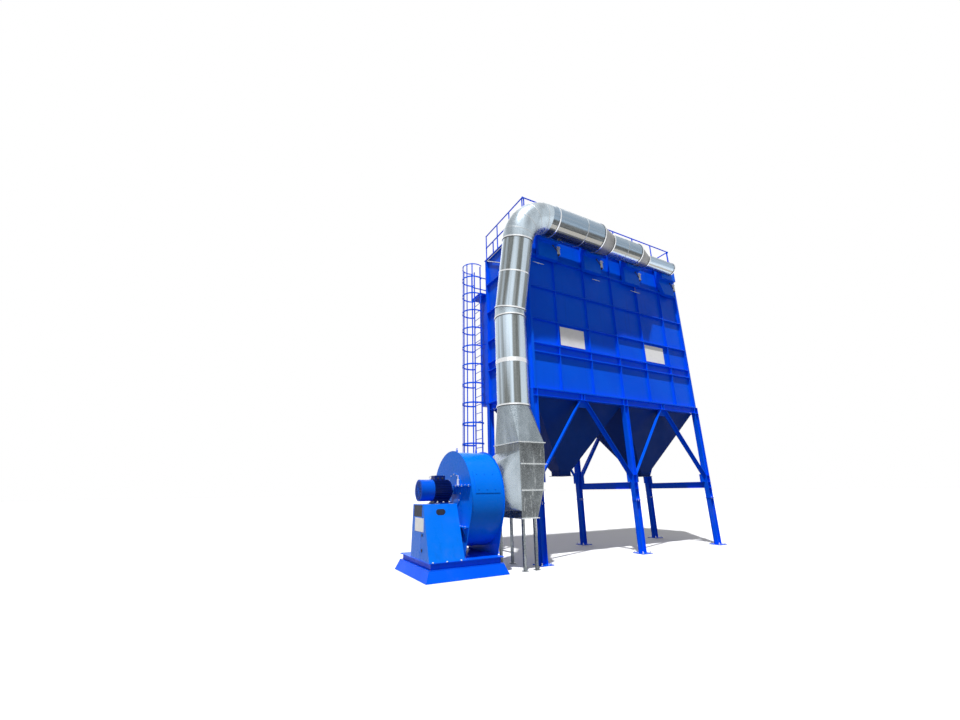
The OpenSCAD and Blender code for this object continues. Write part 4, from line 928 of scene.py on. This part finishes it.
# Thin dark plates standing proud of the side, painted as the shade inside a hollow and a hand hole
side_hollow_shade = block((PEDESTAL_LEFT - 0.002, 0.045, 1.230), (PEDESTAL_LEFT + 0.004, 0.560, 1.470),
                    edge=0.001)
hand_hole_shade = rod((HAND_HOLE_X, -0.045, HAND_HOLE_Z), (HAND_HOLE_X, -0.020, HAND_HOLE_Z), 0.064,
                sides=32, edge=0.001)
edit_some(hand_hole_shade, "VERT", lambda point: point.co.x > HAND_HOLE_X)
bpy.ops.transform.translate(value=(HAND_HOLE_LONG, 0, 0))
end_edit()
keep(joined([side_hollow_shade, hand_hole_shade]), "pedestal_hollow_shade", dark_navy_and_shade)

keep(block((PEDESTAL_LEFT - 0.004, -0.060, 0.925), (PEDESTAL_LEFT, 0.480, 1.205), edge=0.001),
     "pedestal_plate", sign_white)
bolts("pedestal_plate_rivets", [facing((PEDESTAL_LEFT - 0.004, y, z), LEFT, 0.45)
                                for y in (-0.035, 0.455) for z in (0.950, 1.180)])
pedestal_seams = [
    block((PEDESTAL_LEFT - proud, front, low), (PEDESTAL_LEFT + 0.001, back, high), edge=0.001)
    for proud, front, back, low, high in ((0.003, 0.100, 0.106, 0.362, 0.915),
                                          (0.006, 0.025, 0.045, 1.215, 1.488),
                                          (0.006, 0.560, 0.580, 1.215, 1.488))]
keep(joined(pedestal_seams), "pedestal_seams", fan_enamel)
latch = joined([rod((0, 0, -0.002), (0, 0, 0.012), 0.022, sides=16),
                block((-0.008, -0.035, 0.010), (0.008, 0.035, 0.022), edge=0.003)])
keep(repeated(latch, [facing((PEDESTAL_LEFT, 0.0, z), LEFT) for z in (0.56, 0.86)]),
     "pedestal_latches", dark_navy_and_shade, smooth_to=40)

# Lifting lugs on the scroll, and the bolts of the base frame

lug = joined([block((-0.006, -0.05, -0.03), (0.006, 0.05, 0.030)),
              hoop((0, 0, 0.045), RIGHT, 0.032, width=0.012, proud=0.010)])
keep(repeated(lug, [Matrix.Translation((x, SCROLL_Y, SCROLL_Z + SCROLL_R + 0.030))
                    for x in (-5.60, -5.05)]),
     "fan_lifting_lugs", fan_enamel, smooth_to=50)
bolts("base_frame_bolts", [facing((x, y, 0.360), UP, 1.3) for x in (-6.60, -6.28, -5.95)
                           for y in (-0.436, 0.76)])

# Top hoop of the ladder cage: a ring cut off where the ladder stands

LADDER_X, LADDER_Y, CAGE_R = -3.795, 2.690, 0.380
cage_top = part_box("caged_ladder")[1].z
top_hoop = hoop((LADDER_X - CAGE_R / 2, LADDER_Y, cage_top - 0.025), UP, CAGE_R - 0.005,
                width=0.048, proud=0.0045)
edit_all()
bpy.ops.mesh.bisect(plane_co=(LADDER_X, LADDER_Y, cage_top), plane_no=(1, 0, 0),
                    use_fill=True, clear_outer=True)
end_edit()
keep(top_hoop, "cage_top_hoop", blue_enamel, smooth_to=50)

# Inlet plenum on the back: upright and level flat bar ribs, on edge

BAR_FRONT, BAR_BACK, BAR_HALF = 2.949, 2.995, 0.005
rib_bars = [block((x - BAR_HALF, BAR_FRONT, 4.480), (x + BAR_HALF, BAR_BACK, 8.495), edge=0.001)
            for x in (-3.0, -2.0, -1.0, 1.0, 2.0, 3.0)]
rib_bars += [block((-HALF_W, BAR_FRONT, z), (HALF_W, BAR_BACK, z + 2 * BAR_HALF), edge=0.001)
             for z in (5.40, 7.62)]
keep(joined(rib_bars), "inlet_plenum_ribs", blue_enamel)


# Floor, light and camera

def seen_directly(tree):
    """1 for what the camera sees, also in metal or through glass, and 0 for light on a surface."""
    path = tree.nodes.new("ShaderNodeLightPath")
    share = path.outputs["Is Camera Ray"]
    for ray in ("Is Glossy Ray", "Is Transmission Ray"):
        share = worked_out(tree, "MAXIMUM", share, path.outputs[ray])
    return share


FLOOR_SIDE = 400.0
FLOOR_LIT, FLOOR_SEEN = (0.17, 0.17, 0.17), (0.86, 0.86, 0.86)

floor_mat, floor_tree, floor_shader, _ = new_material("pale_floor")
floor_shader.inputs["Roughness"].default_value = 0.9
floor_colour = blend_colour(floor_tree, seen_directly(floor_tree), FLOOR_LIT, FLOOR_SEEN)
floor_tree.links.new(floor_colour, floor_shader.inputs["Base Color"])
clear_selection()
bpy.ops.mesh.primitive_plane_add(size=FLOOR_SIDE, location=(0, 0, 0))
floor = bpy.context.active_object
floor.name = "floor"
floor.data.materials.append(floor_mat)

SKY_LIGHT, SKY_SEEN = 0.15, 1.0

world = bpy.data.worlds.new("studio")
bpy.context.scene.world = world
world.use_nodes = True
world_tree = world.node_tree
sky = world_tree.nodes["Background"]
white = world_tree.nodes.new("ShaderNodeBackground")
for background, strength in ((sky, SKY_LIGHT), (white, SKY_SEEN)):
    background.inputs["Color"].default_value = (1.0, 1.0, 1.0, 1.0)
    background.inputs["Strength"].default_value = strength
mix = world_tree.nodes.new("ShaderNodeMixShader")
world_tree.links.new(seen_directly(world_tree), mix.inputs["Fac"])
world_tree.links.new(sky.outputs["Background"], mix.inputs[1])
world_tree.links.new(white.outputs["Background"], mix.inputs[2])
world_tree.links.new(mix.outputs["Shader"], world_tree.nodes["World Output"].inputs["Surface"])


def sun(name, angles, strength, softness):
    """A sun turned by angles, in degrees, whose disc is softness degrees wide."""
    data = bpy.data.lights.new(name, "SUN")
    data.energy = strength
    data.angle = math.radians(softness)
    lamp = bpy.data.objects.new(name, data)
    lamp.rotation_euler = [math.radians(a) for a in angles]
    bpy.context.scene.collection.objects.link(lamp)


sun("key_sun", (23.4, 0, -40.7), strength=4.3, softness=1.5)
sun("fill_sun", (70, 0, -32), strength=0.34, softness=60)
sun("back_fill", (60, 0, 150), strength=0.7, softness=60)

# The camera looks to the back, turned right by YAW, up by PITCH and rolled by ROLL. Its focal
# length is 406.12 pixels of a frame 960 pixels wide.
PITCH, YAW, ROLL = (math.radians(a) for a in (17.846, 28.592, -0.843))
SENSOR_W = 36.0
LENS = 406.12 / 960 * SENSOR_W
EYE = Vector((-8.554, -10.018, 1.763))

ahead = Vector((math.sin(YAW) * math.cos(PITCH), math.cos(YAW) * math.cos(PITCH), math.sin(PITCH)))
level_right = Vector((math.cos(YAW), -math.sin(YAW), 0))
level_up = level_right.cross(ahead)
camera_right = level_right * math.cos(ROLL) + level_up * math.sin(ROLL)
camera_up = level_up * math.cos(ROLL) - level_right * math.sin(ROLL)
camera_turn = Matrix((camera_right, camera_up, -ahead)).transposed().to_4x4()
camera_data = bpy.data.cameras.new("camera")
camera_data.lens = LENS
camera_data.sensor_width = SENSOR_W
camera_data.clip_end = 1000.0
camera = bpy.data.objects.new("camera", camera_data)
bpy.context.scene.collection.objects.link(camera)
camera.matrix_world = Matrix.Translation(EYE) @ camera_turn
bpy.context.scene.camera = camera

bpy.context.scene.view_settings.view_transform = "Standard"
